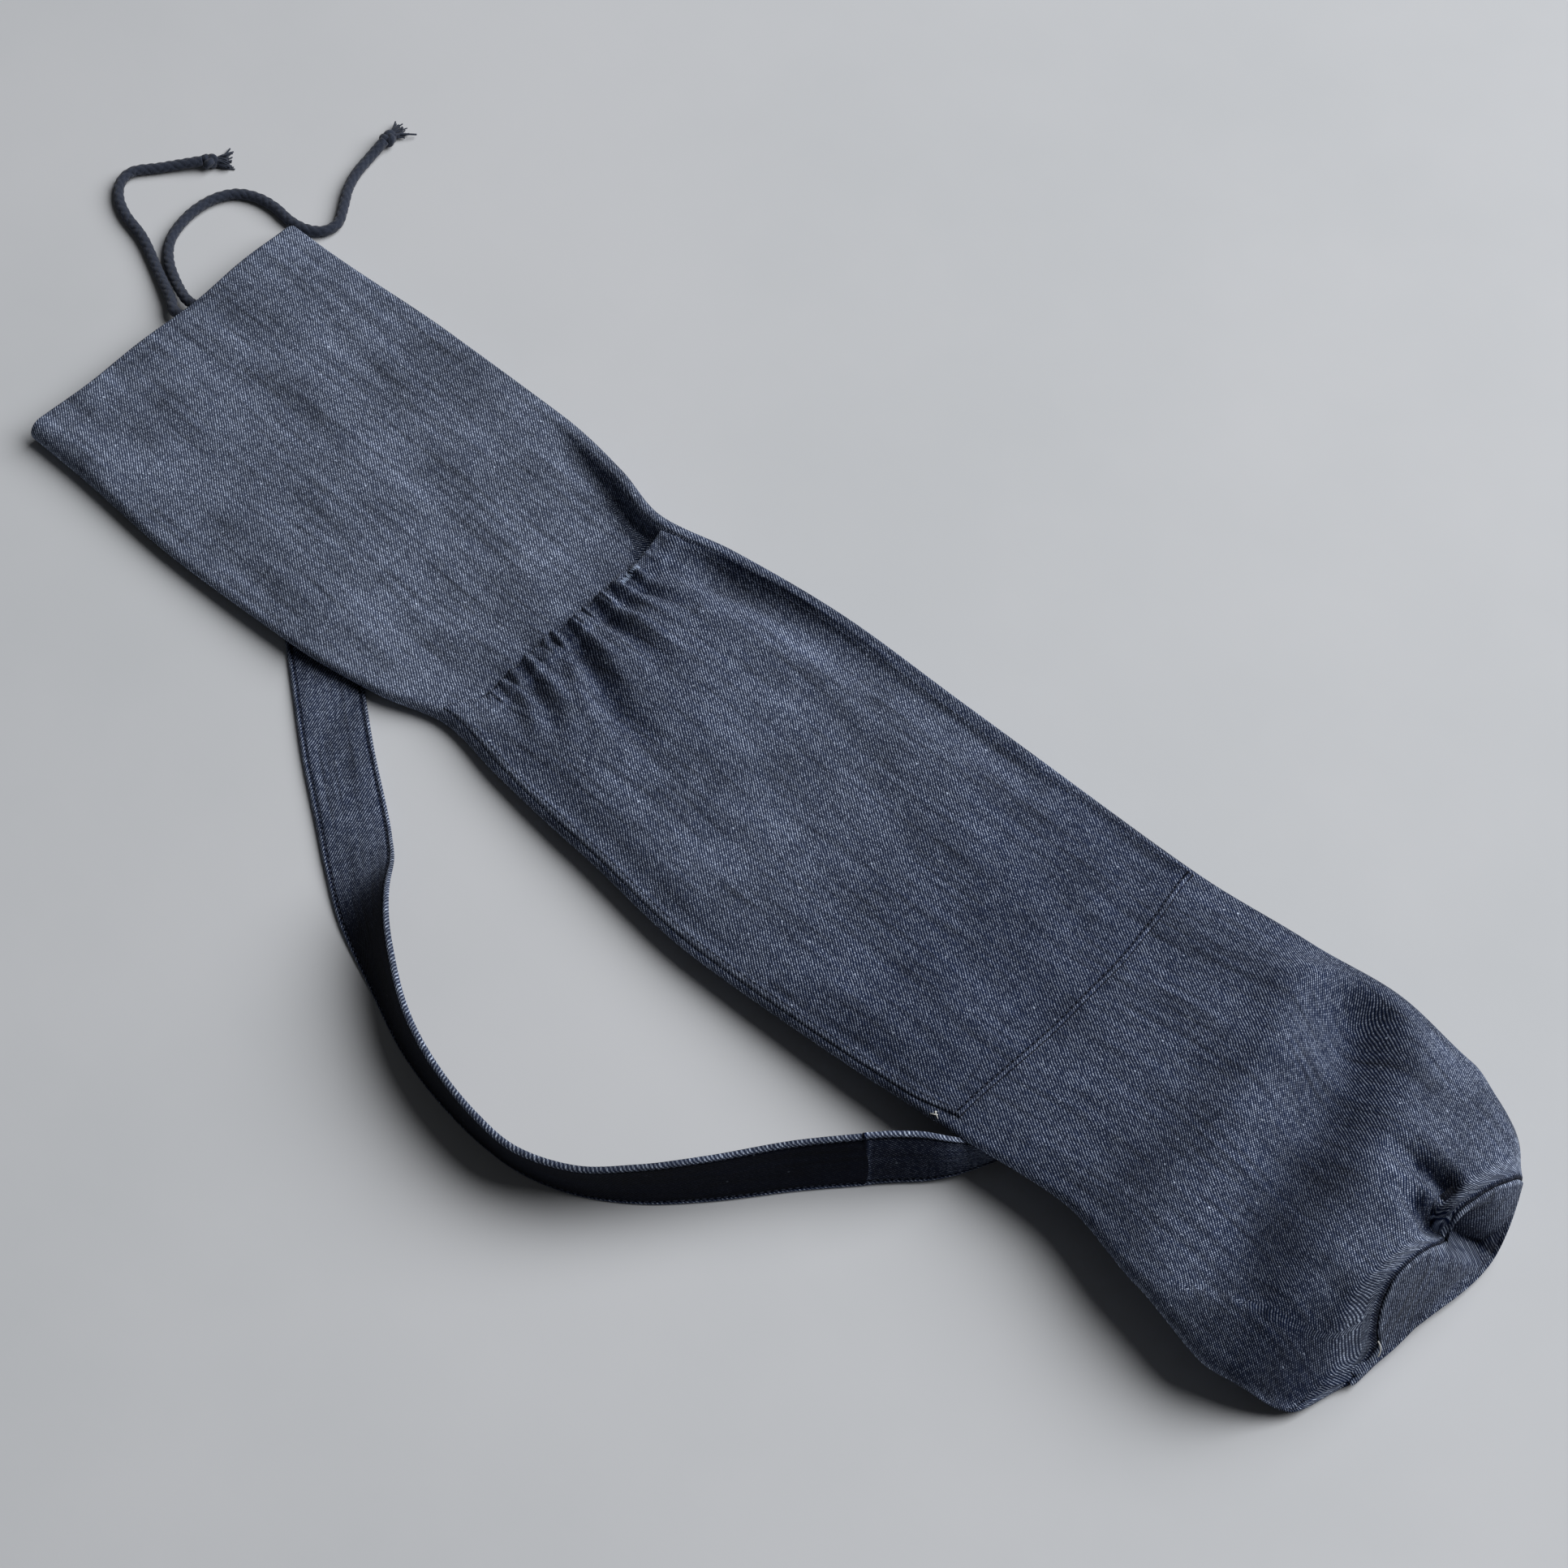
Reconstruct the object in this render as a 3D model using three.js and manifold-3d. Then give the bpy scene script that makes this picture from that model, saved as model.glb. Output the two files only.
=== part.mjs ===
// Drawstring bag for a rolled mat, sewn from denim, lying empty on the floor.
// Millimetres, +X from the mouth to the base, +Z up, floor at Z = 0, origin under the middle of the bag.
import * as THREE from 'three';
import ManifoldModule from 'manifold-3d';

// Cloth and sewing
const DENIM = 1.0;
const SEW_GAP = 0.3;

// Body tube
const BAG_LENGTH = 804;
const FLAT_WIDTH = 188;
const FOLD_ROUND = 3.2;
const BASE_WIDTH = 120;
const BASE_SEAM_ALLOWANCE = 8;
const BASE_BULGE = 7;
const PINCH_DEPTH = 12;

// Hem and drawstring
const HEM_DEPTH = 28;
const MOUTH_SLIT = 4.8;
const CORD_DIAMETER = 6;
const CORD_FLAT_WIDTH = 8;
const CORD_FLAT_THICKNESS = 3.6;
const CORD_EXIT_SPACING = 14;
const CORD_EXIT_Y = 21;
const KNOT_DIAMETER = 10.5;
const KNOT_LENGTH = 10;
const TUFT_LENGTH = 8;

// Pocket
const POCKET_DROP = 270;
const POCKET_LENGTH = 324;
const POCKET_SIDE = 7;
const POCKET_SLACK = 8;
const POCKET_RISE = 24;
const ELASTIC_WIDTH = 10;
const ELASTIC_THICKNESS = 1.2;
const RUFFLE_COUNT = 14;
const RUFFLE_HEIGHT = 2.4;
const RUFFLE_START = 0.2;
const RUFFLE_END = 0.95;

// Strap
const STRAP_WIDTH = 34;
const STRAP_THICKNESS = 3.2;
const STRAP_EDGE_ROUND = 1.2;
const STRAP_SEWN = 12;

// Mesh fineness
const RING_STEPS = 40;
const LONGEST_STEP = 42;
const CORD_SIDES = 10;

// Places along the bag
const mouthX = -BAG_LENGTH / 2;
const baseX = BAG_LENGTH / 2;
const hemEndX = mouthX + HEM_DEPTH;
const pocketTopX = mouthX + POCKET_DROP;
const pocketEndX = pocketTopX + POCKET_LENGTH;
const flangeX = baseX - BASE_SEAM_ALLOWANCE;
const mix = THREE.MathUtils.lerp;
const smooth = THREE.MathUtils.smoothstep;

// Layers of the folded hem, from outside to inside
const channelHeight = CORD_FLAT_THICKNESS + 2 * SEW_GAP;
const hemThickness = DENIM + channelHeight + DENIM;
const mouthHalf = hemThickness + MOUTH_SLIT / 2;
const flatHalf = FLAT_WIDTH / 2;
const hemLie = {
  centre: 2.5, half: flatHalf - 4, top: 2 * mouthHalf, left: mouthHalf, right: mouthHalf, round: mouthHalf,
};

// How the empty tube lies: its middle line, how far its sides are drawn in,
// the height of its top and of its two side folds, and how round those folds are
const STATIONS = [
  { x: mouthX, ...hemLie },
  { x: hemEndX, ...hemLie },
  { x: mix(hemEndX, pocketTopX, 0.33), centre: 1, half: flatHalf, top: 15, left: 9.5, right: 8 },
  { x: mix(hemEndX, pocketTopX, 0.66), centre: 1, half: flatHalf - 2, top: 15, left: 13, right: 12 },
  { x: mix(hemEndX, pocketTopX, 0.86), centre: 1, half: flatHalf - 9, top: 13, left: 13, right: 18 },
  { x: pocketTopX, centre: -1, half: flatHalf - 18, top: 12, left: 13, right: 20 },
  { x: mix(pocketTopX, pocketEndX, 0.12), centre: 2, half: flatHalf - 12, top: 13, left: 13, right: 18 },
  { x: mix(pocketTopX, pocketEndX, 0.3), centre: 3, half: flatHalf - 6, top: 15, left: 13, right: 16 },
  { x: mix(pocketTopX, pocketEndX, 0.55), centre: 0, half: flatHalf - 2, top: 18, left: 14, right: 16 },
  { x: mix(pocketTopX, pocketEndX, 0.8), centre: 1, half: flatHalf - 3, top: 23, left: 19, right: 18 },
  { x: pocketEndX, centre: 2, half: flatHalf - 5, top: 30, left: 25, right: 22 },
  { x: mix(pocketEndX, baseX, 0.3), centre: 5, half: flatHalf - 7, top: 40, left: 29, right: 28 },
  { x: mix(pocketEndX, baseX, 0.55), centre: 1, half: flatHalf, top: 50, left: 32, right: 34 },
  { x: mix(pocketEndX, baseX, 0.75), centre: -6, half: flatHalf + 2, top: 58, left: 30, right: 37 },
  { x: mix(pocketEndX, baseX, 0.9), centre: -10, half: flatHalf - 7, top: 64, left: 23, right: 38 },
  { x: baseX, centre: -4, half: BASE_WIDTH / 2, top: 61, left: 16, right: 38 },
];

// Share of the half width that lies flat on the floor, and the shapes of the rise and of the crown
const FLAT_SHARE = 0.3;
const RISE_POWER = 2;
const CROWN_POWER = 0.7;

// Cubic blend between stations that never passes beyond their values
function blend(key, x) {
  const value = (i) => STATIONS[i][key] ?? FOLD_ROUND;
  const last = STATIONS.length - 1;
  let i = 0;
  while (i < last - 1 && x > STATIONS[i + 1].x) i += 1;
  const step = (k) => STATIONS[k + 1].x - STATIONS[k].x;
  const slope = (k) => (value(k + 1) - value(k)) / step(k);
  const tangent = (k) => {
    if (k === 0 || k === last || slope(k - 1) * slope(k) <= 0) return 0;
    const before = 2 * step(k) + step(k - 1);
    const after = step(k) + 2 * step(k - 1);
    return (before + after) / (before / slope(k - 1) + after / slope(k));
  };
  const t = (x - STATIONS[i].x) / step(i);
  const pull = step(i) * (tangent(i) * t * (1 - t) ** 2 - tangent(i + 1) * t * t * (1 - t));
  return mix(value(i), value(i + 1), t * t * (3 - 2 * t)) + pull;
}

function lieAt(x) {
  const keys = ['centre', 'half', 'top', 'left', 'right', 'round'];
  return Object.fromEntries(keys.map((key) => [key, blend(key, x)]));
}

// Crease on top of the base end, where the seam is pinched
const PINCH_Y = 2;
const PINCH_SWAY = 0.42;
const PINCH_WIDTH = 9;
const PINCH_REACH = 58;
function pinch(x, y) {
  const across = (y - PINCH_Y - PINCH_SWAY * (baseX - x)) / PINCH_WIDTH;
  return PINCH_DEPTH * Math.exp(-across * across) * smooth(x, baseX - PINCH_REACH, baseX);
}

// Heights of the middle of the upper and lower cloth at a share of the half width
function upperMid(lie, share) {
  const fold = mix(lie.left, lie.right, (share + 1) / 2);
  return fold + (lie.top - lie.round - fold) * Math.max(0, 1 - share * share) ** CROWN_POWER;
}

function lowerMid(lie, share) {
  const fold = share < 0 ? lie.left : lie.right;
  const rise = Math.max(0, (Math.abs(share) - FLAT_SHARE) / (1 - FLAT_SHARE)) ** RISE_POWER;
  return lie.round + (fold - lie.round) * rise;
}

function edgeRound(distance, radius) {
  return distance >= radius ? radius : Math.sqrt(2 * radius * distance - distance * distance);
}

// Point on the tube's section, set in from the outer face; angle 0 is the right fold
function tubePoint(x, inset, angle) {
  const lie = lieAt(x);
  const half = lie.half - inset;
  const share = Math.cos(angle);
  const y = lie.centre + half * share;
  const round = edgeRound(half * (1 - Math.abs(share)), lie.round - inset);
  const above = Math.sin(angle) >= 0;
  const z = above ? upperMid(lie, share) + round - pinch(x, y) : lowerMid(lie, share) - round;
  return new THREE.Vector3(x, y, z);
}

// Outer face of the tube seen from above and from below, at a place on the floor plan
function tubeTop(x, y) {
  const lie = lieAt(x);
  const share = (y - lie.centre) / lie.half;
  return upperMid(lie, share) + edgeRound(lie.half * (1 - Math.abs(share)), lie.round) - pinch(x, y);
}

function tubeUnder(x, y) {
  const lie = lieAt(x);
  const share = THREE.MathUtils.clamp((y - lie.centre) / lie.half, -1, 1);
  return lowerMid(lie, share) - edgeRound(lie.half * (1 - Math.abs(share)), lie.round);
}

// Angles round the tube, closer together at the side folds
const EDGE_CROWDING = 0.15;
const ringAngles = Array.from({ length: RING_STEPS }, (_, i) => {
  const turn = (2 * Math.PI * i) / RING_STEPS;
  return turn - EDGE_CROWDING * Math.sin(2 * turn);
});

function tubeRing(x, inset) {
  return ringAngles.map((angle) => tubePoint(x, inset, angle));
}

// Closed surface through rings of equal length, its ends joined to each other or capped
function shellThrough(rings, ends) {
  const count = rings[0].length;
  const points = rings.flat();
  const triangles = [];
  const bands = ends === 'joined' ? rings.length : rings.length - 1;
  for (let i = 0; i < bands; i += 1) {
    const near = i * count;
    const far = ((i + 1) % rings.length) * count;
    for (let j = 0; j < count; j += 1) {
      const k = (j + 1) % count;
      triangles.push(near + j, far + j, far + k, near + j, far + k, near + k);
    }
  }
  if (ends !== 'joined') {
    capRing(points, triangles, rings[0], 0, ends, true);
    capRing(points, triangles, rings[rings.length - 1], (rings.length - 1) * count, ends, false);
  }
  return outwardGeometry(points, triangles);
}

// Caps are fans round a middle point, or ear cuts of an outline in its own flat coordinates
function capRing(points, triangles, ring, start, ends, first) {
  const faces = [];
  if (ends.outline) {
    faces.push(...THREE.ShapeUtils.triangulateShape(ends.outline, []));
  } else {
    const middle = ends[first ? 'first' : 'last'] ?? averagePoint(ring);
    points.push(middle);
    ring.forEach((_, j) => faces.push([j, (j + 1) % ring.length, points.length - 1 - start]));
  }
  const turned = ends.outline ? !THREE.ShapeUtils.isClockWise(ends.outline) : true;
  for (const [a, b, c] of faces) {
    const order = first === turned ? [a, b, c] : [a, c, b];
    triangles.push(...order.map((index) => index + start));
  }
}

function averagePoint(ring) {
  const sum = ring.reduce((total, point) => total.add(point), new THREE.Vector3());
  return sum.divideScalar(ring.length);
}

// Indexed geometry whose faces point out
function outwardGeometry(points, triangles) {
  let volume = 0;
  for (let i = 0; i < triangles.length; i += 3) {
    const [a, b, c] = [points[triangles[i]], points[triangles[i + 1]], points[triangles[i + 2]]];
    volume += a.dot(new THREE.Vector3().crossVectors(b, c));
  }
  const index = volume >= 0 ? triangles : triangles.slice().reverse();
  const geometry = new THREE.BufferGeometry().setFromPoints(points);
  geometry.setIndex(index);
  return geometry;
}

// Cutting one closed geometry out of another
const manifold = await ManifoldModule();
manifold.setup();

function toSolid(geometry) {
  return new manifold.Manifold(new manifold.Mesh({
    numProp: 3,
    vertProperties: new Float32Array(geometry.getAttribute('position').array),
    triVerts: new Uint32Array(geometry.getIndex().array),
  }));
}

function cut(geometry, ...tools) {
  const solid = tools.reduce((rest, tool) => rest.subtract(toSolid(tool)), toSolid(geometry));
  const mesh = solid.getMesh();
  const result = new THREE.BufferGeometry();
  result.setAttribute('position', new THREE.BufferAttribute(new Float32Array(mesh.vertProperties), 3));
  result.setIndex(new THREE.BufferAttribute(new Uint32Array(mesh.triVerts), 1));
  return result;
}

function boxBetween(low, high) {
  const size = high.map((value, i) => value - low[i]);
  const box = new THREE.BoxGeometry(...size);
  box.translate(...low.map((value, i) => value + size[i] / 2));
  box.deleteAttribute('normal');
  box.deleteAttribute('uv');
  return mergedBox(box);
}

function mergedBox(box) {
  const source = box.getAttribute('position');
  const points = [];
  const places = Array.from({ length: source.count }, (_, i) => {
    const point = new THREE.Vector3().fromBufferAttribute(source, i);
    const known = points.findIndex((other) => other.distanceTo(point) < 1e-6);
    return known >= 0 ? known : points.push(point) - 1;
  });
  return outwardGeometry(points, Array.from(box.getIndex().array, (i) => places[i]));
}

// Stations split so that no step along the bag is too long
function placesAlong(from, to) {
  const stations = [...STATIONS.slice(0, -1).map((station) => station.x), flangeX];
  const marks = [from, ...stations.filter((x) => x > from && x < to), to];
  const places = [from];
  for (let i = 1; i < marks.length; i += 1) {
    const pieces = Math.ceil((marks[i] - marks[i - 1]) / LONGEST_STEP);
    for (let k = 1; k <= pieces; k += 1) places.push(mix(marks[i - 1], marks[i], k / pieces));
  }
  return places;
}

// Body: one panel sewn into a tube, with its mouth folded in as a hem that holds the cord
const HEM_CORNER = 2;
const channelStartX = mouthX + DENIM + SEW_GAP;
const channelEndX = hemEndX - DENIM;
const exitLeftY = CORD_EXIT_Y - CORD_EXIT_SPACING / 2;
const exitRightY = CORD_EXIT_Y + CORD_EXIT_SPACING / 2;

function bodyPanel() {
  const outside = placesAlong(mouthX + HEM_CORNER, baseX).reverse();
  const inside = placesAlong(hemEndX, baseX);
  const rings = [
    ...outside.map((x) => tubeRing(x, 0)),
    tubeRing(mouthX, HEM_CORNER),
    tubeRing(mouthX, hemThickness - HEM_CORNER),
    tubeRing(mouthX + HEM_CORNER, hemThickness),
    tubeRing(hemEndX, hemThickness),
    ...inside.map((x) => tubeRing(x, DENIM)),
  ];
  const channel = [
    tubeRing(channelStartX, DENIM),
    tubeRing(channelEndX, DENIM),
    tubeRing(channelEndX, DENIM + channelHeight),
    tubeRing(channelStartX, DENIM + channelHeight),
  ];
  const reach = CORD_FLAT_WIDTH / 2 + SEW_GAP;
  const openSeam = boxBetween(
    [mouthX - DENIM, exitLeftY - reach, -DENIM],
    [channelStartX + DENIM, exitRightY + reach, DENIM + channelHeight],
  );
  return cut(shellThrough(rings, 'joined'), shellThrough(channel, 'joined'), openSeam);
}

// Base: a round panel sewn into the tube's end, its seam allowance turned in
const DOME_SHARES = [0.12, 0.35, 0.62, 0.85];
function baseDisc() {
  const rimX = baseX + SEW_GAP;
  const flangeOut = DENIM + SEW_GAP;
  const flangeIn = flangeOut + DENIM;
  const dome = (inset, setBack) => {
    const rim = tubeRing(baseX, inset);
    const middle = averagePoint(rim);
    const place = (point, share) => {
      const x = rimX - setBack + BASE_BULGE * (1 - (1 - share) ** 2);
      return new THREE.Vector3(x + DENIM, mix(point.y, middle.y, share), mix(point.z, middle.z, share));
    };
    const rings = DOME_SHARES.map((share) => rim.map((point) => place(point, share)));
    return { rings, pole: place(middle, 1) };
  };
  const at = (x, inset) => tubeRing(baseX, inset).map((point) => new THREE.Vector3(x, point.y, point.z));
  const front = dome(0, 0);
  const back = dome(flangeIn, DENIM);
  const rings = [
    ...back.rings.slice().reverse(),
    tubeRing(baseX, flangeIn),
    tubeRing(flangeX, flangeIn),
    tubeRing(flangeX, flangeOut),
    tubeRing(baseX, flangeOut),
    at(rimX, flangeOut),
    at(rimX, 0),
    at(rimX + DENIM, 0),
    ...front.rings,
  ];
  return shellThrough(rings, { first: back.pole, last: front.pole });
}

// Pocket: a panel sewn to the front at its sides and bottom, its top folded over an elastic and gathered
const casingDepth = 2 * DENIM + ELASTIC_WIDTH + 2 * SEW_GAP;
const casingSpace = ELASTIC_THICKNESS + 2 * SEW_GAP;
const CASING_FADE = 14;
const POCKET_CLOSE = 40;

function pocketPlace(x, across) {
  const lie = lieAt(x);
  const reach = lie.half - POCKET_SIDE;
  const y = lie.centre + reach * (2 * across - 1);
  const side = 2 * reach * Math.min(across, 1 - across);
  const lift = POCKET_SLACK * smooth(side, 0, POCKET_RISE) * smooth(pocketEndX - x, 0, POCKET_CLOSE);
  return { y, under: tubeTop(x, y) + SEW_GAP + lift };
}

// Every fourth gather runs on as a long crease
const CREASE_EVERY = 4;
const CREASE_LENGTH = 60;
const GATHER_LENGTH = 16;
function ruffle(x, across) {
  const along = ((across - RUFFLE_START) / (RUFFLE_END - RUFFLE_START)) * RUFFLE_COUNT;
  if (along <= 0 || along >= RUFFLE_COUNT) return 0;
  const reach = Math.floor(along) % CREASE_EVERY === 1 ? CREASE_LENGTH : GATHER_LENGTH;
  const wave = 0.5 - 0.5 * Math.cos(2 * Math.PI * along);
  return RUFFLE_HEIGHT * wave * Math.exp(-(x - pocketTopX) / reach);
}

function pocketOuter(x, across) {
  const casing = 1 - smooth(x - pocketTopX - casingDepth, 0, CASING_FADE);
  return pocketPlace(x, across).under + DENIM + (casingSpace + DENIM) * casing + ruffle(x, across);
}

const POCKET_STOPS = [8, 15, 26, 42, 68, 110, 170, 250];
const RUFFLE_SAMPLES = 4;
function pocketAcross() {
  const spread = (from, to, steps) => Array.from({ length: steps }, (_, i) => mix(from, to, i / steps));
  return [
    ...spread(0, RUFFLE_START, 6),
    ...spread(RUFFLE_START, RUFFLE_END, RUFFLE_COUNT * RUFFLE_SAMPLES),
    ...spread(RUFFLE_END, 1, 3),
    1,
  ];
}

function pocketPanel() {
  const foldX = pocketTopX + 2 * DENIM;
  const casingEndX = pocketTopX + casingDepth;
  const stops = [foldX, ...POCKET_STOPS.map((stop) => pocketTopX + stop), pocketEndX];
  const profile = (across) => {
    const outer = (x) => [x, pocketOuter(x, across)];
    const inner = (x) => [x, pocketOuter(x, across) - DENIM];
    const under = (x) => pocketPlace(x, across).under;
    return [
      ...stops.slice().reverse().map(outer),
      [pocketTopX, pocketOuter(pocketTopX, across) - DENIM],
      [pocketTopX, under(pocketTopX) + DENIM],
      [foldX, under(foldX)],
      [casingEndX, under(casingEndX)],
      [casingEndX, under(casingEndX) + DENIM],
      [foldX, under(foldX) + DENIM],
      ...stops.map(inner),
    ];
  };
  const rows = pocketAcross();
  const rings = rows.map((across) => profile(across).map(([x, z]) => {
    return new THREE.Vector3(x, pocketPlace(x, across).y, z);
  }));
  const outline = profile(0.5).map(([x, z]) => new THREE.Vector2(x, z));
  return shellThrough(rings, { outline });
}

// Elastic: a flat band inside the pocket's top fold
const ELASTIC_STEPS = 16;
function pocketElastic() {
  const nearX = pocketTopX + 2 * DENIM + SEW_GAP;
  const farX = nearX + ELASTIC_WIDTH;
  const rings = Array.from({ length: ELASTIC_STEPS + 1 }, (_, i) => {
    const across = mix(RUFFLE_START, RUFFLE_END, i / ELASTIC_STEPS);
    const corner = (x, height) => {
      const place = pocketPlace(x, across);
      return new THREE.Vector3(x, place.y, place.under + DENIM + SEW_GAP + height);
    };
    return [
      corner(nearX, 0), corner(farX, 0), corner(farX, ELASTIC_THICKNESS), corner(nearX, ELASTIC_THICKNESS),
    ];
  });
  return shellThrough(rings, {});
}

// Strap: where its outer edge lies on the floor, and how far it is turned up on that edge, in degrees
const STRAP_ROUTE = [
  [-205, -103, 0], [-170, -130, 0], [-140, -151, 2], [-117, -167, 15], [-91, -183, 42],
  [-57, -197, 70], [-22, -211, 84], [8, -218, 92], [40, -221, 98], [64, -219, 102], [87, -210, 102],
  [110, -194, 96], [132, -175, 88], [156, -147, 80], [172, -132, 78], [187, -117, 78], [194, -109, 42],
  [200, -101, 18], [206, -92, 5],
];
const LAP_FIRST = [172, -132];
const STRAP_SUBSTEPS = 2;

// Place on the left of the bag's underside that is a given height above the floor
function underPlace(x, height) {
  const lie = lieAt(x);
  const rise = (height / (lie.left - lie.round)) ** (1 / RISE_POWER);
  return lie.centre - lie.half * (FLAT_SHARE + (1 - FLAT_SHARE) * rise);
}

// The strap's two ends, carried on under the bag to where its cloth comes down on them
function strapEnd(point, ahead) {
  const toTip = new THREE.Vector2(point[0] - ahead[0], point[1] - ahead[1]).normalize();
  const slant = Math.abs(STRAP_WIDTH / toTip.y);
  const reachX = point[0] + ((-flatHalf - point[1]) / toTip.y) * toTip.x;
  const places = [reachX - slant, reachX, reachX + slant];
  const tipY = Math.min(...places.map((x) => underPlace(x, STRAP_THICKNESS + SEW_GAP)));
  const along = (y) => [point[0] + ((y - point[1]) / toTip.y) * toTip.x, y, 0];
  return [along(tipY), along(tipY - STRAP_SEWN)];
}

const strapPoints = [
  ...strapEnd(STRAP_ROUTE[0], STRAP_ROUTE[1]),
  ...STRAP_ROUTE,
  ...strapEnd(STRAP_ROUTE[STRAP_ROUTE.length - 1], STRAP_ROUTE[STRAP_ROUTE.length - 2]).reverse(),
];
const strapLast = strapPoints.length - 1;
const strapPlaces = strapPoints.map(([x, y]) => new THREE.Vector3(x, y, 0));
const strapCurve = new THREE.CatmullRomCurve3(strapPlaces, false, 'centripetal');

// How far the strap is turned up, between two points of its route
function strapTurn(index) {
  const i = Math.min(Math.floor(index), strapLast - 1);
  return THREE.MathUtils.degToRad(mix(strapPoints[i][2], strapPoints[i + 1][2], index - i));
}

// 1 where the strap is sewn to the bag, 0 where it lies free
function sewnShare(index) {
  const fromEnd = Math.min(index, strapLast - index);
  return 1 - smooth(fromEnd, 1, 2);
}

// One section of the strap, slanted where it is sewn, on the floor or held up to the bag
function strapRing(index, setBack) {
  const place = strapCurve.getPoint(index / strapLast);
  const flat = strapCurve.getTangent(index / strapLast);
  const inward = new THREE.Vector3(-flat.y, flat.x, 0);
  const turn = strapTurn(index);
  const across = inward.clone().multiplyScalar(Math.cos(turn)).setZ(Math.sin(turn));
  const face = new THREE.Vector3().crossVectors(flat, across);
  const sewn = sewnShare(index);
  const slant = flat.clone().multiplyScalar((-sewn * inward.y) / flat.y);
  const half = STRAP_THICKNESS / 2;
  const section = [
    [0, 0], [STRAP_EDGE_ROUND, -half], [STRAP_WIDTH - STRAP_EDGE_ROUND, -half],
    [STRAP_WIDTH, 0], [STRAP_WIDTH - STRAP_EDGE_ROUND, half], [STRAP_EDGE_ROUND, half],
  ];
  const ring = section.map(([w, h]) => {
    const point = place.clone().addScaledVector(inward, setBack);
    return point.addScaledVector(across, w).addScaledVector(slant, w).addScaledVector(face, h);
  });
  const lowest = Math.min(...ring.map((point) => point.z));
  const room = Math.min(...ring.map((point) => tubeUnder(point.x, point.y)));
  const lift = sewn * Math.max(0, room - SEW_GAP - STRAP_THICKNESS);
  ring.forEach((point) => point.setZ(point.z - lowest + lift));
  return ring;
}

function strapPiece(from, to, setBack) {
  const steps = (to - from) * STRAP_SUBSTEPS;
  const rings = Array.from({ length: steps + 1 }, (_, i) => strapRing(mix(from, to, i / steps), setBack));
  return shellThrough(rings, {});
}

// The short length starts a lap before the long one ends, behind it
const lapStart = strapPoints.findIndex(([x, y]) => x === LAP_FIRST[0] && y === LAP_FIRST[1]);
const lapEnd = lapStart + 1;
const lapSetBack = (STRAP_THICKNESS + 2 * SEW_GAP) / Math.sin(strapTurn(lapStart));

// Drawstring: flat inside the hem, round where it is free
const RUN_TURN_STEPS = 4;
const RUN_INNER_TURN = 2;
function drawstringInHem() {
  const insetOut = DENIM + SEW_GAP;
  const insetIn = insetOut + CORD_FLAT_THICKNESS;
  const nearX = channelStartX + DENIM + SEW_GAP + RUN_INNER_TURN;
  const farX = nearX + CORD_FLAT_WIDTH;
  const bevel = CORD_FLAT_THICKNESS / 3;
  const section = [
    [nearX, insetOut + bevel], [nearX + bevel, insetOut], [farX - bevel, insetOut],
    [farX, insetOut + bevel], [farX, insetIn - bevel], [farX - bevel, insetIn],
    [nearX + bevel, insetIn], [nearX, insetIn - bevel],
  ];
  const pivotX = nearX - RUN_INNER_TURN;
  const turnReach = RUN_INNER_TURN + CORD_FLAT_WIDTH / 2;
  const leftPivotY = exitLeftY - turnReach;
  const rightPivotY = exitRightY + turnReach;
  const lie = lieAt(pivotX);
  const angleOf = (y) => 2 * Math.PI - Math.acos((y - lie.centre) / lie.half);
  const start = angleOf(leftPivotY);
  const finish = angleOf(rightPivotY) - 2 * Math.PI;
  const between = [...ringAngles, ...ringAngles.map((angle) => angle - 2 * Math.PI)];
  const angles = [start, ...between.filter((angle) => angle < start && angle > finish), finish];
  angles.sort((a, b) => b - a);
  const around = angles.map((angle) => section.map(([x, inset]) => tubePoint(x, inset, angle)));
  const bend = (pivotY, side) => Array.from({ length: RUN_TURN_STEPS }, (_, i) => {
    const turn = (Math.PI / 2) * ((i + 1) / RUN_TURN_STEPS);
    return section.map(([x, inset]) => {
      const radius = x - pivotX;
      const y = pivotY + side * radius * Math.sin(turn);
      return new THREE.Vector3(pivotX + radius * Math.cos(turn), y, inset);
    });
  });
  const straight = (ring) => ring.map((point) => point.clone().setX(mouthX + SEW_GAP));
  const left = bend(leftPivotY, 1);
  const right = bend(rightPivotY, -1);
  const leftEnd = straight(left[RUN_TURN_STEPS - 1]);
  const rightEnd = straight(right[RUN_TURN_STEPS - 1]);
  return shellThrough([leftEnd, ...left.reverse(), ...around, ...right, rightEnd], {});
}

// Free ends of the cord, as they lie on the floor, from the mouth to the knot
const cordStartX = mouthX - SEW_GAP;
const SHORT_END = [
  [-414, 18], [-434.7, 28], [-456.8, 38], [-474, 42.5], [-484.8, 48], [-491.5, 55.5],
  [-492.5, 64], [-483.5, 76.5], [-470, 93],
];
const LONG_END = [
  [-413, 26.8], [-423, 30], [-436.5, 37], [-444.7, 46], [-448.6, 56.5], [-450, 68.5], [-448, 81],
  [-442, 90.5], [-432, 95.7], [-420.5, 97], [-411.5, 96], [-404, 96.3], [-397.5, 98.2], [-391.5, 103],
  [-390, 110.5], [-395, 119.5], [-402.8, 131], [-407, 141], [-409.5, 153], [-410.8, 165],
];
const CORD_STEP = 2.2;
const KNOT_RISE = 1.8;

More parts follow.
